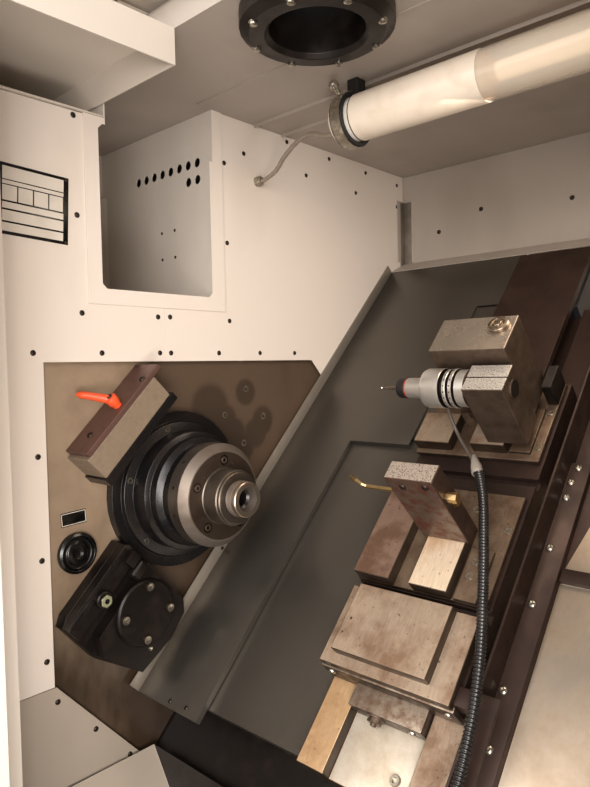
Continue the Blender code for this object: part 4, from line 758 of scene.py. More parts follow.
def makeSpindle():
    def threads(shape):
        # Draw-nut threads on the nose, one ring for each turn
        for k in range(5):
            z = 0.1548 + 0.002 * k
            addRings(shape, Matrix.Identity(4), [(0.0262, z - 0.001), (0.0278, z - 0.0002),
                (0.0278, z + 0.0002), (0.0262, z + 0.001)], 64)
    lathe("spindleTurned", spindleLook["profile"], slantPoint(0, 0, 0), toRight, "turned", "spindle", 72,
        True, ["spindle"], extra=threads, bands=spindleLook["bands"])
    bolts, holes, bosses = [], [], []
    for k in range(spindleLook["bolts"]):
        for shift, reach, radius, group in ((0, 0.056, 0.0056, bolts), (36, 0.06, 0.0027, holes),
                (54, 0.05, 0.003, bosses)):
            turn = math.radians(spindleLook["turn"] + 72 * k + shift)
            group.append((slantPoint(spindleLook["face"], 0, 0) + reach * roundSpindle(turn), radius))
    bores = [(place + Vector((gap, 0, 0)), 0.008) for place, radius in bolts]
    flush, sunk = 0.0001, 0.0044
    # Flat black discs round the sunk bolts and at the open holes: painted shade standing for the counterbores
    # and holes
    screws("flangeBores", "plug", "black", "spindle", bores, toRight, flush)
    screws("flangeBolts", "socket", "groundDark", "spindle", bolts, toRight, sunk)
    screws("flangeHoles", "plug", "screw", "spindle", holes, toRight, flush)
    screws("flangeJacks", "flatSocket", "zinc", "spindle", bosses, toRight, flush)

    def balance(shape):
        # Set screws that balance the flange, round its rim
        for k in range(12):
            turn = math.radians(30 * k)
            out = roundSpindle(turn)
            place = slantPoint(0.0935, 0, 0) + spindleLook["rim"] * out
            addRings(shape, facing(place - out * 0.0001, out),
                [(0.0026, 0), (0.0026, 0.0003), (0.0014, 0.0003, "hex"), (0, 0.0001)], 12)
    formPiece("balanceScrews", balance, "screw", "spindle")


makeSpindle()
softCopy("spindle_cover", "blackRing", 0.0008)
ringSpots = [(slantPoint(0.0122, 0, 0) + 0.1045 * roundSpindle(math.radians(60 * k)), 0.0052)
    for k in range(6)]
screws("coverRingScrews", "socket", "zinc", "frame", ringSpots, toRight, 0.003)
softCopy("clamp_block", "tanBlock", 0.0015)
softCopy("clamp_bar", "brownPlate", 0.0008)
softCopy("lower_bracket", "blackSteel", 0.0012)
softCopy("bracket_disc", "blackSteel", 0.001)
softCopy("sealing_cap", "black", 0.0012)


# Everything else keeps its solid's shape, with broken edges where the eye comes close

print("finishing the solids")


def facesOut(direction):
    # Tests a face for looking along the direction, within about 37 degrees
    return lambda middle, normal: normal.dot(Vector(direction)) > 0.8


topIs = facesOut((0, 0, 1))
frontIs = facesOut((-1, 0, 0))
splitNodes = {
    "saddle_cover_right": ("guard", 0.0006, [
        ("wornEdge", lambda p, n: n.z > 0.8 and -0.1585 < p.z < -0.157 and p.y > 0.08),
        ("brightCover", lambda p, n: p.x > 0.705 and n.z > 0.5)]),
    "right_enclosure": ("outside", 0.001, [
        ("brightCover", lambda p, n: -0.165 < p.z < -0.13 and 0.63 < p.x < 1.049 and -0.288 < p.y < 0.751)]),
    # Tops take the pale plate finishes and sides the dark one: painted light on the tops, painted shade on
    # the sides
    "tool_plate_front": ("plateShadedSide", 0.0012, [
        ("plateLitTop", lambda p, n: n.z > 0.8 and p.z > -0.095), ("plate", lambda p, n: n.z > 0.8)]),
    "tool_plate_middle": ("plateShadedSide", 0.001, [
        ("plateLitTop", lambda p, n: n.z > 0.8 and p.z > -0.095 and p.x > 0.42),
        ("plateBrown", lambda p, n: n.z > 0.8 and p.z > -0.095 and p.x <= 0.42)]),
    "tool_plate_rear": ("plateShadedSide", 0.001, [
        ("plate", lambda p, n: n.z > 0.8 and -0.095 < p.z < -0.08), ("blackSteel",
            lambda p, n: p.x > 0.513 and p.z > -0.1)]),
    # Tops take the brighter finish and other sides the darker one: painted light on the tops, painted shade
    # on the sides
    "rear_holder": ("groundDark", 0.0012, [("groundLitTop", topIs), ("ground", frontIs)]),
    "probe_clamp": ("groundDark", 0.001, [("speckled", topIs), ("ground", frontIs)]),
    "coolant_block": ("blockShadedSide", 0.0012, [("speckledBlock", topIs), ("block", facesOut((0, -1, 0)))]),
    "chip_chute": ("blackSteel", 0.001, [("wallLow", lambda p, n: n.x > 0.4 and p.x < 0.1)]),
    "recess_box": ("recessPaint", 0.0006, [("wall", lambda p, n: p.x > 0.0005)]),
    # The saddle's low tops take the pale plate finish as painted light
    "saddle": ("saddle", 0.0012, [("goldRail", lambda p, n: p.x < 0.383 and n.z > 0.5),
        ("plateLitTop", lambda p, n: n.z > 0.8 and p.z < -0.165),
        ("plate", lambda p, n: n.z > 0.8 and p.z >= -0.165 and p.x >= 0.383),
        ("guard", lambda p, n: p.y > 0.2)]),
    "roof_panel": ("wallShade", 0.001, [("ceilingShade", lambda p, n: n.dot(Vector((0, -0.707,
        -0.707))) > 0.9)]),
}
for node, (finish, edge, regions) in splitNodes.items():
    softCopy(node, finish, edge, regions)

softNodes = {
    # The bed takes the black finish as painted shade: it shows only in the dark gap under the covers
    "headstock_casting": ("casting", 0.004), "bed_casting": ("blackSteel", 0.002),
    "wall_panel_front": ("wall", 0.0004), "wall_panel_rear": ("wall", 0.0004),
    "wall_panel_lower": ("wallLow", 0.0004), "rear_wall_panel": ("wallShade", 0.0006),
    "duct_flange": ("blackSteel", 0.001), "saddle_cover_left": ("darkCover", 0.0006),
    "x_way_cover": ("guard", 0.0006), "gang_table": ("guard", 0.0008), "left_enclosure": ("outside", 0.0012),
    "machine_base": ("grey", 0.002), "door_leaf": ("outside", 0.001),
    "control_housing": ("grey", 0.002), "electrical_cabinet": ("outside", 0.002),
    "cabinet_door": ("outside", 0.002), "coolant_tank": ("grey", 0.001),
}
for node, (finish, edge) in softNodes.items():
    softCopy(node, finish, edge)

plainNodes = {
    "front_bearing": "ground", "rear_bearing": "ground", "spindle_pulley": "castIron",
    "motor_pulley": "castIron",
    "drive_belt": "rubber", "spindle_motor": "enamel", "x_servo_motor": "enamel", "z_servo_motor": "enamel",
    "z_ballscrew": "ground", "x_ballscrew": "ground", "coolant_pump": "enamel",
    "door_window": "window", "emergency_stop": "red", "start_button": "green",
    "handwheel": "black", "coolant_pipe": "brass", "probe_stylus": "brightSteel",
}
for node, finish in plainNodes.items():
    slots = nodes[node].data.materials
    for index in range(len(slots)):
        slots[index] = finishes[finish]


# Small things on the headstock's face

print("fitting the small parts")


def makeLever():
    # Clamping lever: a round hub over a set screw and a tapered arm that rises to its tip
    hub = slantPoint(0.034, 0.01, 0.1968)
    out = slopeOut
    root = slantPoint(0.0335, 0.0098, 0.21)
    tip = slantPoint(0.002, -0.011, 0.245)
    inside = facing(hub, out).inverted()

    def arm(shape):
        count = 14
        line = [root.lerp(tip, i / count) + out * 0.0012 * math.sin(math.pi * i / count)
            for i in range(count + 1)]
        radii = [0.0072 - 0.0014 * min(1, 1.6 * i / count) for i in range(count + 1)]
        radii[-1] = 0.0026
        radii[-2] = 0.0044
        sweep(shape, [inside @ p for p in line], radii, 16)
    lathe("leverMoulded", [(0, 0), (0.0066, 0), (0.0068, 0.003), (0.0092, 0.008), (0.0096, 0.0155),
        (0.009, 0.0188), (0.007, 0.02), (0.0052, 0.02), (0.005, 0.0182), (0, 0.0182)], hub, out, "orange",
        "clamp_lever", 28, extra=arm, replaces=["clamp_lever"], angle=45)
    screws("leverScrew", "socket", "screw", "clamp_lever", [(hub + out * 0.0178, 0.0046)], out, 0.0)


makeLever()
screws("barScrews", "socket", "screw", "frame", slantSpots(0.0052, (0.0216, -0.0473, 0.1965),
    (0.0406, 0.0658, 0.1965)), slopeOut, 0.0035)
# Flat black discs: painted shade standing for the block's two holes
screws("blockHoles", "plug", "black", "frame", slantSpots(0.0052, (0.05, -0.0745, 0.1569),
    (0.05, 0.0709, 0.1469)), toRight)
screws("blockPin", "plug", "brass", "frame", slantSpots(0.002, (0.05, 0.072, 0.183)), toRight)
screws("castingPlugs", "flatSocket", "zinc", "frame", [((wallX + castingX, y, z), 0.0062)
    for y, z in castingLook["plugs"]], toRight)


def makeBracketDetails():
    bright = [(-0.1612, -0.0309), (-0.1654, -0.0868), (-0.221, -0.0275), (-0.2239, -0.0828)]
    screws("bracketBolts", "socket", "screw", "frame", slantSpots(0.0082,
        *[(0.044, s, n) for s, n in bright]), toRight, 0.005)
    screws("bracketBoltCores", "flatSocket", "zinc", "frame",
        slantSpots(0.0062, *[(0.0474, s, n) for s, n in bright]), toRight, 0.0002)
    screws("bracketSmall", "socket", "zinc", "frame", slantSpots(0.0034, (0.036, -0.2296, -0.1045)), toRight,
        0.001)
    lathe("bracketBoss", [(0, 0), (0.0135, 0), (0.0135, 0.01), (0.012, 0.0115), (0.0085, 0.0117),
        (0.0085, 0.0145, "hex"), (0.0078, 0.0155), (0.004, 0.0156), (0.004, 0.012), (0, 0.0115)],
        slantPoint(0.0297, -0.2159, 0.02), toRight, "blackSteel", "frame", 24, bands={"paleNut": [5, 6]})
    blocks("bracketRidges", [((0.044, -0.1635, -0.0065), (0.0452, -0.1395, 0.0055)),
        ((0.0297, -0.27, 0.029), (0.0318, -0.138, 0.0385)), ((0.0297, -0.156, 0.012), (0.043, -0.135, 0.03))],
        "blackSteel", "frame", slantMatrix, 0.0008)


makeBracketDetails()


def makePlates():
    # Two bare plates: a small black one on the casting, and a framed one on the wall with empty pale fields
    spot = Matrix.Translation((wallX + castingX, -0.4847, 1.0506)) @ Matrix.Rotation(math.radians(3), 4, "X")
    blocks("barePlate", [((0, -0.0205, -0.0105), (0.0007, 0.0205, 0.0105))], "black", "frame", spot, 0.0003)
    rim, wide, high, under, over = 0.0009, 0.0188, 0.0082, 0.0005, 0.0009
    blocks("barePlateRim", [((under, -wide, high), (over, wide, high + rim)),
        ((under, -wide, -high - rim), (over, wide, -high)), ((under, -wide - rim, -high - rim),
        (over, -wide, high + rim)), ((under, wide, -high - rim), (over, wide + rim, high + rim))],
        "signPaper", "frame", spot, 0.0)
    sign = Matrix.Translation((wallX, -0.5328, 1.5038)) @ Matrix.Rotation(math.radians(-2.6), 4, "X")
    blocks("signFrame", [((0, -0.0505, -0.0485), (0.0008, 0.0505, 0.0485))], "black", "frame", sign, 0.0003)
    left, right, column = -0.046, 0.0425, 0.0224
    rows = [(0.0265, 0.044), (0.02, 0.025), (-0.013, -0.0045), (-0.03, -0.0155), (-0.044, -0.0325)]
    fields = [(left, right, low, high) for low, high in rows]
    fields[2:2] = [(left + column * k, -0.0255 + column * k, -0.002, 0.0185) for k in range(4)]
    blocks("signFields", [((0.0006, a, low), (0.0011, b, high)) for a, b, low, high in fields], "signPaper",
        "frame", sign, 0.0)
    screws("signScrews", "pan", "screw", "frame", [(sign @ Vector((0.0008, y, z)), 0.0022)
        for y, z in ((0.0472, 0.045), (0.0472, -0.045))], toRight)


makePlates()
wallLook = {
    "screws": [(-.4694, 1.6444), (-.4683, 1.4995), (-.4654, 1.3557), (-.3291, 1.3555), (-.305, 1.3565),
        (-.5429, 1.2962), (-.4342, 1.2964), (-.3272, 1.2967), (-.305, 1.2967), (-.1998, 1.297),
        (-.0975, 1.2972), (-.0008, 1.2974), (-.1729, 1.3549), (-.1743, 1.4948), (-.1768, 1.6366),
        (-.1281, 1.6639), (-.0108, 1.7124), (.0448, 1.6582), (.1195, 1.7074), (.2485, 1.7039),
        (.2107, 1.6525), (.3734, 1.699), (.3721, 1.648), (-.5411, 1.1493), (-.5407, 1.0006), (-.5387, .8537),
        (-.5242, .7895), (-.465, .7244), (-.4071, .6592)],
    "flange": [(.0627, 1.1957), (-.025, 1.1148), (-.2063, .9473)],
    "radius": 0.0043,
}
screws("wallScrews", "button", "screw", "frame", [((wallX, y, z), wallLook["radius"])
    for y, z in wallLook["screws"]], toRight)
screws("flangeStripScrews", "button", "screw", "frame", [((wallX + 0.0027, y, z), 0.0036)
    for y, z in wallLook["flange"]], toRight)
screws("rearWallScrews", "button", "screw", "frame", [((-.1449, rearWallY, 1.5774), 0.005),
    ((-.0387, rearWallY, 1.6119), 0.005)] + [((x, rearWallY, 1.6), 0.005) for x in (0.16, 0.36, 0.56, 0.76)],
    toFront)
recessDepth = 0.354
recessBack = wallX - recessDepth
screws("recessScrews", "button", "screw", "frame", [((recessBack, y, z), 0.0036)
    for y, z in ((-.37, 1.49), (-.335, 1.49), (-.37, 1.44), (-.335, 1.44))], toRight)
screws("recessSideScrews", "button", "screw", "frame", [((x, -0.206, z), 0.003)
    for x in (wallX - 0.11, wallX - 0.15) for z in (1.53, 1.48)], toFront)


# Roof, duct and lamp

lampLook = {
    "y": -0.134, "z": 1.655, "left": -0.0125, "right": 0.74, "joint": 0.24,
}


def makeLamp():
    # A milky sleeve up to the joint, then a clear tube with the lit one inside; heights run from the left end
    left = lampLook["left"]
    start = (left, lampLook["y"], lampLook["z"])
    first = lampLook["joint"] - left
    whole = lampLook["right"] - left
    lathe("lampSleeve", [(0, 0), (0.025, 0), (0.029, 0.0012), (0.0325, 0.004), (0.0335, 0.0075),
        (0.0335, 0.042), (0.035, 0.0422), (0.035, first - 0.002), (0.0343, first), (0.03, first), (0, first)],
        start, toRight, "sleeve", "frame", 64, angle=30, replaces=["lamp_tube"],
        bands={"black": [0, 1], "lampCap": [4]})
    lathe("lampGlass", [(0.03, first + 0.0003), (0.0345, first + 0.0003), (0.0345, whole - 0.022),
        (0.032, whole - 0.022), (0.032, first + 0.0008), (0.03, first + 0.0008)], start, toRight, "lampClear",
        "frame", 64, True, angle=30)
    lathe("lampEnd", [(0, whole - 0.0217), (0.035, whole - 0.0217), (0.035, whole - 0.001), (0.0338, whole),
        (0, whole)], start, toRight, "lampCap", "frame", 48)
    lathe("lampHolder", [(0, first + 0.001), (0.03, first + 0.001), (0.03, first + 0.006),
        (0.018, first + 0.01), (0.016, first + 0.018), (0, first + 0.018)], start, toRight, "warmCap",
        "frame", 40)
    lathe("lampBulb", [(0, first + 0.0183), (0.013, first + 0.0183), (0.013, whole - 0.022),
        (0, whole - 0.022)], start, toRight, "glow", "frame", 28)
    lathe("lampLine", [(0.03505, 0.0425), (0.0354, 0.0425), (0.0354, 0.044), (0.03505, 0.044)], start,
        toRight, "black", "frame", 64, True)


makeLamp()


def makeLampClamp():
    # A black rubber-lined band with a bright wing screw holds the lamp to its post
    centre = Vector((lampLook["left"] + 0.024, lampLook["y"], lampLook["z"]))
    softCopy("lamp_clamp", "rubber", 0.001)
    lathe("clampBand", [(0.0415, -0.009), (0.0425, -0.009), (0.0425, 0.009), (0.0415, 0.009)], centre,
        toRight, "zinc", "frame", 48, True)
    wing = centre + Vector((0, -0.03, 0.034))
    lathe("wingScrew", [(0, 0), (0.004, 0), (0.004, 0.01), (0.0075, 0.011), (0.008, 0.018), (0.006, 0.021),
        (0, 0.0215)], wing, (0, -0.8, 0.6), "zinc", "frame", 20)
    blocks("wingTabs", [((-0.0012, -0.015, 0.01), (0.0012, 0.015, 0.019))], "zinc", "frame",
        facing(wing, (0, -0.8, 0.6), 30), 0.001)


makeLampClamp()


ductLook = {"middle": (0.1, -0.318, 1.6932), "boltCircle": 0.086, "bolts": 8}


def makeDuctDetails():
    x, y, z = ductLook["middle"]
    circle = ductLook["boltCircle"]
    spots = []
    for k in range(ductLook["bolts"]):
        turn = math.radians(20 + 360 / ductLook["bolts"] * k)
        spots.append(((x + circle * math.cos(turn), y + circle * math.sin(turn), z), 0.0055))
    screws("ductBolts", "hexBolt", "zinc", "frame", spots, (0, 0, -1), 0.001)


makeDuctDetails()
blocks("ceilingSeams", [((-0.2395, -0.2405, 1.7208), (0.8045, -0.239, 1.7226)),
    ((-0.2395, -0.103, 1.7165), (0.8045, -0.1015, 1.7226)),
    ((-0.2395, -0.029, 1.7165), (0.8045, -0.0275, 1.7226))], "ceilingShade", "frame", None, 0.0003)
# The hood over the door's rail, as an outline in Y and Z
hood = [(-0.386, 1.7603), (-0.386, 1.7795), (-0.475, 1.7795), (-0.475, 1.765), (-0.473, 1.765),
    (-0.473, 1.7775), (-0.388, 1.7775), (-0.388, 1.7603)]
alongX = Matrix(((0, 0, 1, 0), (1, 0, 0, 0), (0, 1, 0, 0), (0, 0, 0, 1)))
cornerLook = {"wide": 0.024, "low": 1.499, "high": 1.66}
blocks("cornerTrim", [((wallX + 0.0006, rearWallY - 0.003, cornerLook["low"]),
    (wallX + cornerLook["wide"], rearWallY - 0.0003, cornerLook["high"])),
    ((wallX + 0.0006, rearWallY - 0.016, cornerLook["low"]),
    (wallX + 0.003, rearWallY - 0.0003, cornerLook["high"]))], "trim", "frame", None, 0.0005)
prism("railHood", hood, -0.87, 0.87, "outside", "frame", alongX)


# Tooling on the cross slide

def makeTooling():
    body = "cross_slide"
    pad, ledge = -0.1035, -0.1085
    tableFront, footFront = -0.158, -0.186
    lathe("holderKnob", [(0, 0), (0.014, 0), (0.0148, 0.0012), (0.0148, 0.0052), (0.0138, 0.0062),
        (0.01, 0.0066), (0.0094, 0.0052), (0.006, 0.005), (0.0052, 0.0072), (0.0046, 0.0076), (0, 0.0076)],
        slantPoint(0.488, 0.3078, 0.0448), slopeOut, "ground", body, 40)
    # A flat black disc: painted shade standing for the holder's hole
    screws("holderHole", "plug", "black", body, slantSpots(0.0033, (0.4387, 0.2867, 0.045)), slopeOut)
    screws("clampBolts", "socket", "screw", body, slantSpots(0.0058, (0.5049, 0.32, -0.07)), slopeOut, 0.003)
    rear = [(0.499, 0.2757, pad), (0.4965, 0.2325, pad), (0.523, 0.22, ledge), (0.523, 0.285, ledge),
        (0.364, 0.32, ledge), (0.455, 0.335, ledge)]
    middle = [(0.499, 0.0249, pad), (0.4977, 0.0041, pad), (0.523, 0.08, ledge), (0.47, 0.105, ledge)]
    screws("rearLedgeBolts", "socket", "zinc", body, slantSpots(0.0056, *rear), slopeOut, 0.0045)
    screws("middleLedgeBolts", "socket", "zinc", body, slantSpots(0.0056, *middle), slopeOut, 0.0045)
    front = -slopeUp
    screws("blockBolts", "socket", "screw", body, slantSpots(0.0048, (0.4419, 0.041, 0.0251),
        (0.4763, 0.041, 0.03)), front, 0.003)
    screws("frontPlateBolts", "flatSocket", "zinc", body, slantSpots(0.0042, (0.352, -0.156, -0.1102),
        (0.512, -0.156, -0.1102)), front, 0.0002)
    blocks("tableEnd", [((0.337, tableFront, -0.1525), (0.531, -0.1503, -0.1172)),
        ((0.3835, footFront, -0.1688), (0.4905, -0.1503, -0.14))], "tableEnd", body, slantMatrix, 0.001)
    screws("tableEndBolts", "socket", "zinc", body, slantSpots(0.005, (0.348, tableFront, -0.13),
        (0.52, tableFront, -0.13), (0.472, footFront, -0.156)), front, 0.003)
    lathe("tableEndNut", [(0, 0), (0.0125, 0), (0.0125, 0.002), (0.0085, 0.0025), (0.0085, 0.007, "hex"),
        (0.0078, 0.008), (0.004, 0.0082), (0.004, 0.011), (0, 0.0115)], slantPoint(0.42, -0.1858, -0.1545),
        front, "groundDark", body, 24)
    screws("pipeElbow", "hexBolt", "brass", body, slantSpots(0.0058, (0.4905, 0.058, -0.02)), toRight)


makeTooling()


def makeProbe():
    # Satin body with a black boot and red band at the stylus end, then two adjusting rings; the grooves
    # between the rings take the black finish as painted shade
    probeUp = 0.232
    axis = slantPoint(0, probeUp, 0)
    lathe("probeTurned", [(0, 0.52), (0.0125, 0.52), (0.0125, 0.4565), (0.0265, 0.4565), (0.0265, 0.4432),
        (0.0215, 0.4425), (0.0215, 0.44), (0.0275, 0.4395), (0.0283, 0.4388), (0.0283, 0.435),
        (0.0225, 0.4343), (0.0225, 0.4305), (0.027, 0.4298), (0.0276, 0.429), (0.0276, 0.425),
        (0.0222, 0.4243), (0.0222, 0.419), (0.028, 0.4183), (0.0288, 0.4175), (0.0288, 0.3925),
        (0.027, 0.3885), (0.018, 0.387), (0.0152, 0.386), (0.015, 0.356), (0.0143, 0.3555), (0.0143, 0.3535),
        (0.0153, 0.3528), (0.0155, 0.3435), (0.0138, 0.34), (0.01, 0.338), (0.0035, 0.338), (0.0035, 0.3465),
        (0, 0.3465)], axis, toRight, "probeBody", "cross_slide", 64, angle=30, replaces=["probe_body"],
        bands={"blackSteel": [0, 4, 5, 6, 9, 10, 11, 14, 15, 16], "groundDark": [1, 2], "redBand": [23, 24],
        "rubber": range(25, 32)})

    def notches(shape):
        # Near-black dots round both rings: painted shade standing for their notches
        for k in range(20):
            turn = 2 * math.pi * k / 20
            out = roundSpindle(turn)
            for x, reach in ((0.4369, 0.0283), (0.427, 0.0276)):
                place = slantPoint(x, probeUp, 0) + out * (reach - 0.0001)
                addRings(shape, facing(place, out), [(0.0011, 0), (0.0011, 0.0003), (0, 0.0003)], 10)
    formPiece("probeNotches", notches, "screw", "cross_slide")


makeProbe()


# Covers over the ways

def makeFixedCover():
    # One dark sheet with a strip down to the front, a bright wall flange, and lips over the sliding cover
    near, strip, far, low, corner, high = 0.0008, 0.147, 0.333, -0.287, 0.245, 0.75
    sheet = prism("wayCoverSheet", [(near, low), (strip, low), (strip, corner), (0.2745, corner),
        (0.2745, 0.601), (far, 0.601), (far, high), (near, high)], -0.16, coverTop, "darkCover", "frame",
        slantMatrix)
    prism("wayCoverFlange", [(near, low + 0.0004), (near + 0.0022, low + 0.0004), (near + 0.0022, high),
        (near, high)], -0.1596, -0.1372, "coverEdge", "frame", slantMatrix)
    blocks("wayCoverLips", [((strip - 0.0022, low + 0.0004, -0.1682),
        (strip - 0.0002, corner + 0.001, -0.159)), ((strip - 0.0015, corner + 0.0004, -0.1682),
        (0.2741, corner + 0.0022, -0.159))], "darkCover", "frame", slantMatrix, 0.0004)
    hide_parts("way_cover_fixed")


makeFixedCover()
blocks("channelFloor", [((0.382, -0.269, -0.171), (0.4915, -0.1855, -0.17)),
    ((0.382, -0.186, -0.171), (0.414, -0.15, -0.17)), ((0.456, -0.186, -0.171), (0.4915, -0.15, -0.17))],
    "wipedSteel", "saddle", slantMatrix, 0.0003)
screws("channelScrew", "socket", "zinc", "saddle", slantSpots(0.0069, (0.4662, -0.2393, -0.17)), slopeOut,
    0.003)
coverLook = {
    # Across the bed and up the slope, on the covers' top
    "coverEndScrews": [(.078, -.2778), (.1156, -.2759)],
    # coverHoles are flat black discs: painted shade standing for open holes
    "coverHoles": [(.1385, .4262), (.1617, .4258), (.1342, .2902), (.1555, .2913)],
    "ledgeBolts": [(.564, .226), (.56, .2006), (.56, .1744), (.56, .0934), (.5603, .0107), (.559, -.103),
        (.564, -.1704)],
    "rightCoverBolts": [(.79, .22), (.79, .12), (.79, .02), (.79, -.08), (.79, -.2), (.655, .27), (.655, .4),
        (.655, .54)],
}
for name, kind, finish, body, radius in (
        ("coverEndScrews", "button", "screw", "frame", 0.0036), ("coverHoles", "plug", "black", "frame",
                0.0017),
        ("ledgeBolts", "button", "zinc", "saddle", 0.0056), ("rightCoverBolts", "button", "zinc", "frame",
                0.0056)):
    screws(name, kind, finish, body, slantSpots(radius, *[(x, s, coverTop) for x, s in coverLook[name]]),
        slopeOut)


# Outside of the machine

print("fitting the outside")
controlLook = {
    "face": -0.715, "columns": 8, "rows": 4, "keyWide": 0.0155, "keyHigh": 0.0135, "pitch": (0.0215, 0.0225),
    "wheel": (0.735, 1.045), "stop": (0.81, 1.0), "start": (0.665, 1.0),
}


def makeControlDetails():
    face = controlLook["face"]
    blocks("screenBezel", [((0.6505, face + 0.0005, 1.2305), (0.8295, face + 0.0037, 1.3895))], "black",
        "frame", None, 0.001)
    blocks("screenGlass", [((0.6565, face - 0.0003, 1.2365), (0.8235, face + 0.001, 1.3835))], "screen",
        "frame", None, 0.0005)
    blocks("keypadFilm", [((0.642, face - 0.0008, 1.102), (0.838, face + 0.0002, 1.218))], "keypad", "frame",
        None, 0.0003)
    keys = []
    for column in range(controlLook["columns"]):
        for row in range(controlLook["rows"]):
            x = 0.652 + controlLook["pitch"][0] * column + (0.008 if column > 4 else 0)
            z = 1.112 + controlLook["pitch"][1] * row + (0.006 if row > 2 else 0)
            keys.append(((x, face - 0.0022, z), (x + controlLook["keyWide"], face - 0.0005,
                z + controlLook["keyHigh"])))
    blocks("keyCaps", keys, "key", "frame", None, 0.0008)

    def collar(name, spot, inner, shoulder, outer, height, edge, finish, steps):
        # A flat ring with a broken outer edge
        lathe(name, [(inner, 0), (inner, height), (shoulder, height), (outer, edge), (outer, 0)],
            (spot[0], face, spot[1]), toFront, finish, "frame", steps, True)
    x, z = controlLook["wheel"]
    collar("wheelScale", (x, z), 0.032, 0.039, 0.0395, 0.0018, 0.0012, "key", 60)

    def ticks(shape):
        for k in range(50):
            turn = 2 * math.pi * k / 50
            spin = Matrix.Translation((x, face - 0.0018, z)) @ Matrix.Rotation(turn, 4, "Y")
            long = 0.005 if k % 5 == 0 else 0.0028
            addBlock(shape, (-0.00025, -0.0002, 0.0386 - long), (0.00025, 0.0002, 0.0386), spin, 0)
    formPiece("wheelTicks", ticks, "black", "frame")
    collar("stopCollar", controlLook["stop"], 0.012, 0.0205, 0.0215, 0.004, 0.003, "yellow", 40)
    collar("startCollar", controlLook["start"], 0.015, 0.0178, 0.0185, 0.0035, 0.0025, "zinc", 36)
    screws("panelScrews", "pan", "zinc", "frame", [((x, face, z), 0.0028) for x in (0.633, 0.847)
        for z in (1.075, 1.428)], toFront)


makeControlDetails()
doorLook = {"front": -0.7, "window": (-0.7, -0.2, 0.95, 1.45), "lap": 0.004, "rim": 0.013}


def makeDoorDetails():
    # A black rubber profile grips the window's edge, and bright screws hold the door's skin and guard glass
    front = doorLook["front"]
    left, right, low, high = doorLook["window"]
    inner, outer = ([(left - w, low - w), (right + w, low - w), (right + w, high + w), (left - w, high + w)]
        for w in (-doorLook["lap"], doorLook["rim"]))

    def gasket(shape):
        rows = [[shape.verts.new((x, y, z)) for x, z in corners]
            for corners, y in ((inner, front + 0.0015), (inner, front - 0.003), (outer, front - 0.003),
            (outer, front + 0.0001))]
        for a, b in ((0, 1), (1, 2), (2, 3)):
            for k in range(4):
                j = (k + 1) % 4
                shape.faces.new((rows[a][k], rows[a][j], rows[b][j], rows[b][k]))
        for k in range(4):
            j = (k + 1) % 4
            shape.faces.new((rows[3][k], rows[3][j], rows[0][j], rows[0][k]))
        bmesh.ops.recalc_face_normals(shape, faces=shape.faces)
        bmesh.ops.bevel(shape, geom=shape.edges, offset=0.0011, segments=3, affect="EDGES", profile=0.5)
    formPiece("windowGasket", gasket, "rubber", "door", angle=50)
    spots = [((x, front, z), 0.0042) for x in (left - 0.035, right + 0.035) for z in (0.93, 1.1, 1.3, 1.47)]
    spots += [((x, front, z), 0.0042) for x in (-0.6, -0.45, -0.3) for z in (0.915, 1.485)]
    screws("doorScrews", "button", "zinc", "door", spots, toFront)
    for k, z in enumerate((1.06, 1.25)):
        lathe("gripFoot" + str(k), [(0.0095, 0), (0.015, 0), (0.015, 0.0025), (0.012, 0.0045),
            (0.0095, 0.0048)], (-0.1115, front, z), toFront, "black", "door", 32, True)


makeDoorDetails()


def makeCabinetDetails():
    # Knuckle hinges and two filter grilles such as switch cabinets carry
    axis = (0.0455, 0.7305)
    fixed, turning = [], []
    knuckle, pitch = 0.02, 0.0205
    for z in (0.36, 0.9, 1.44):
        for low, group in ((0, fixed), (pitch, turning), (2 * pitch, fixed)):
            group.append((z + low, z + low + knuckle))

    def knuckles(spans):
        def build(shape):
            for low, high in spans:
                addRings(shape, Matrix.Translation((*axis, 0)), [(0, low), (0.0066, low),
                    (0.0072, low + 0.0006), (0.0072, high - 0.0006), (0.0066, high), (0, high)], 24)
        return build
    formPiece("hingeFixed", knuckles(fixed), "zinc", "frame")
    formPiece("hingeTurning", knuckles(turning), "zinc", "cabinet_door")
    for k, (x, z) in enumerate(((0.45, 1.42), (0.45, 0.34))):
        skin, proud, outer, inner, lap = 0.7376, 0.743, 0.085, 0.071, 0.072
        bars = [((x - outer, skin, z - outer), (x + outer, proud, z - inner)),
            ((x - outer, skin, z + inner), (x + outer, proud, z + outer)),
            ((x - outer, skin, z - lap), (x - inner, proud, z + lap)),
            ((x + inner, skin, z - lap), (x + outer, proud, z + lap)),
            ((x - lap, skin, z - lap), (x + lap, skin + 0.0012, z + lap))]
        blocks("grilleFrame" + str(k), bars, "greyPlastic", "cabinet_door", None, 0.0008)
        tilt = Matrix.Rotation(math.radians(28), 4, "X")
        slats = [Matrix.Translation((x, 0.7408, z - 0.062 + 0.0124 * n)) @ tilt for n in range(11)]

        def louvres(shape):
            for spot in slats:
                addBlock(shape, (-0.0712, -0.001, -0.0052), (0.0712, 0.0006, 0.0052), spot, 0.0004)
        formPiece("grilleSlats" + str(k), louvres, "greyPlastic", "cabinet_door")
    screws("cabinetScrews", "button", "zinc", "cabinet_door",
        [((x, 0.738, z), 0.0044) for x in (0.09, 0.82) for z in (0.16, 0.62, 1.2, 1.66)], toBack)


makeCabinetDetails()


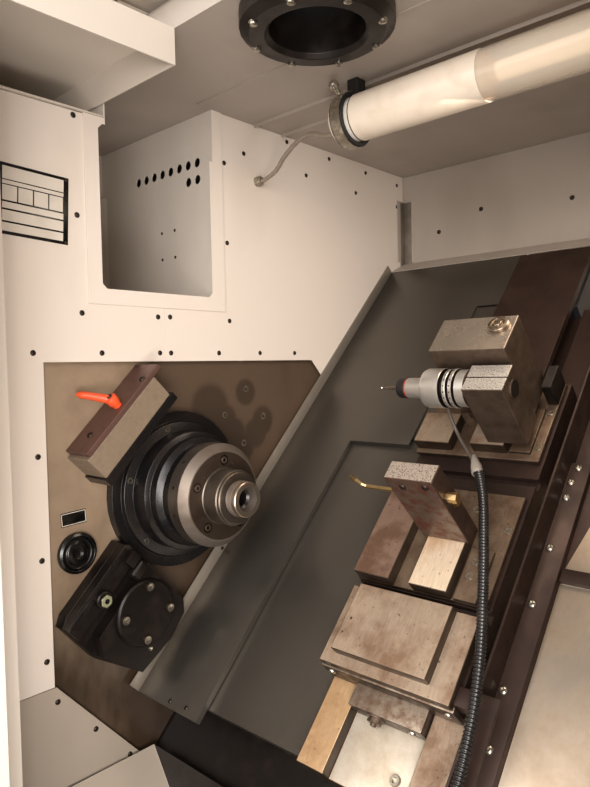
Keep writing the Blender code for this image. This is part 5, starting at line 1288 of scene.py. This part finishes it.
def makeTankDetails():
    # Two pull handles and a sight strip on the front of the coolant tank
    for k, x in enumerate((0.1, 0.54)):
        line = smoothRoute([(x - 0.055, -0.644, 0.235), (x - 0.053, -0.664, 0.235), (x - 0.04, -0.67, 0.235),
            (x + 0.04, -0.67, 0.235), (x + 0.053, -0.664, 0.235), (x + 0.055, -0.644, 0.235)], 8)
        formPiece("tankHandle" + str(k), lambda shape: sweep(shape, line, [0.005] * len(line)), "black",
            "frame", angle=60)
    blocks("sightFrame", [((0.305, -0.6485, 0.13), (0.335, -0.6447, 0.29))], "black", "frame", None, 0.0012)
    blocks("sightGlass", [((0.313, -0.6498, 0.142), (0.327, -0.648, 0.278))], "screen", "frame", None, 0.0008)


makeTankDetails()
outsideSpots = [(x, -0.65, z) for x in (-0.845, 0.845) for z in (0.6, 0.95, 1.3, 1.66)]
outsideSpots += [(0.58, -0.65, z) for z in (0.6, 0.85, 1.55, 1.68)]
screws("frontScrews", "button", "zinc", "frame", [(place, 0.0046) for place in outsideSpots], toFront)
backSpots = [(x, 0.44, z) for x in (-0.845, -0.42, 0.0) for z in (0.6, 0.95, 1.3, 1.66)]
screws("backScrews", "button", "zinc", "frame", [(place, 0.0046) for place in backSpots], toBack)


# Floor, background and light

lightLook = {
    "key": ((0.85, -1.75, 1.8), (-0.1, 0.0, 1.1), 1.2, 29.0, "#fff8f2"),
    "side": ((1.15, -1.6, 1.15), (-0.24, -0.55, 0.98), 0.6, 12.0, "#fff8f2"),
    "near": ((0.6, -0.88, 0.9), (-0.2, -0.3, 1.05), 0.35, 5.5, "#fff6ee"),
    "fill": ((-0.5, -1.9, 1.9), (0.1, 0.1, 1.0), 1.6, 18.0, "#fff8f2"),
    "lamp": ((0.35, -0.1, 1.6), (0.2, 0.0, 1.0), 0.35, 2.0, "#ffead4"),
    "back": ((-1.7, 2.7, 2.5), (0.0, 0.2, 0.9), 2.2, 75.0, "#fffaf5"),
    "world": 0.42,
}


def makeStage():
    material, tree, shader, place = startMaterial("paleFloor", {"colour": "#e6e4e0", "Roughness": 0.7})
    setColour(tree, shader, blendColours(tree, cloudy(tree, place, 900, 0.3, 0.7, 3), "#e6e4e0", "#dfdcd7"))
    shape = bmesh.new()
    reach = 30.0
    corners = [shape.verts.new((x, y, 0)) for x, y in ((-reach, -reach), (reach, -reach), (reach, reach),
        (-reach, reach))]
    shape.faces.new(corners)
    mesh = bpy.data.meshes.new("floor")
    shape.to_mesh(mesh)
    shape.free()
    mesh.materials.append(material)
    floor = bpy.data.objects.new("floor", mesh)
    bpy.context.scene.collection.objects.link(floor)


def makeLights():
    # Each has its place, what it is aimed at, its size, its power and its colour
    for name in ("key", "side", "near", "fill", "lamp", "back"):
        place, aim, size, power, colour = lightLook[name]
        data = bpy.data.lights.new(name, "AREA")
        data.shape = "DISK"
        data.size = size
        data.energy = power
        data.color = hexToLinear(colour)[:3]
        light = bpy.data.objects.new(name, data)
        bpy.context.scene.collection.objects.link(light)
        light.matrix_world = facing(place, Vector(place) - Vector(aim))
    world = bpy.data.worlds.new("studio")
    bpy.context.scene.world = world
    world.use_nodes = True
    tree = world.node_tree
    tree.nodes.clear()
    seen = addNode(tree, "LightPath")
    direct = addNode(tree, "Math", {"operation": "MAXIMUM"},
        {0: seen.outputs["Is Camera Ray"], 1: seen.outputs["Is Transmission Ray"]})
    soft = addNode(tree, "Background", {"Color": hexToLinear("#fffaf5"), "Strength": lightLook["world"]})
    pale = addNode(tree, "Background", {"Color": hexToLinear("#f4f2ef"), "Strength": 1.0})
    mix = addNode(tree, "MixShader", None, {0: direct.outputs[0], 1: soft.outputs[0], 2: pale.outputs[0]})
    addNode(tree, "OutputWorld", None, {0: mix.outputs[0]})


makeStage()
makeLights()
bpy.context.scene.view_settings.view_transform = "Standard"
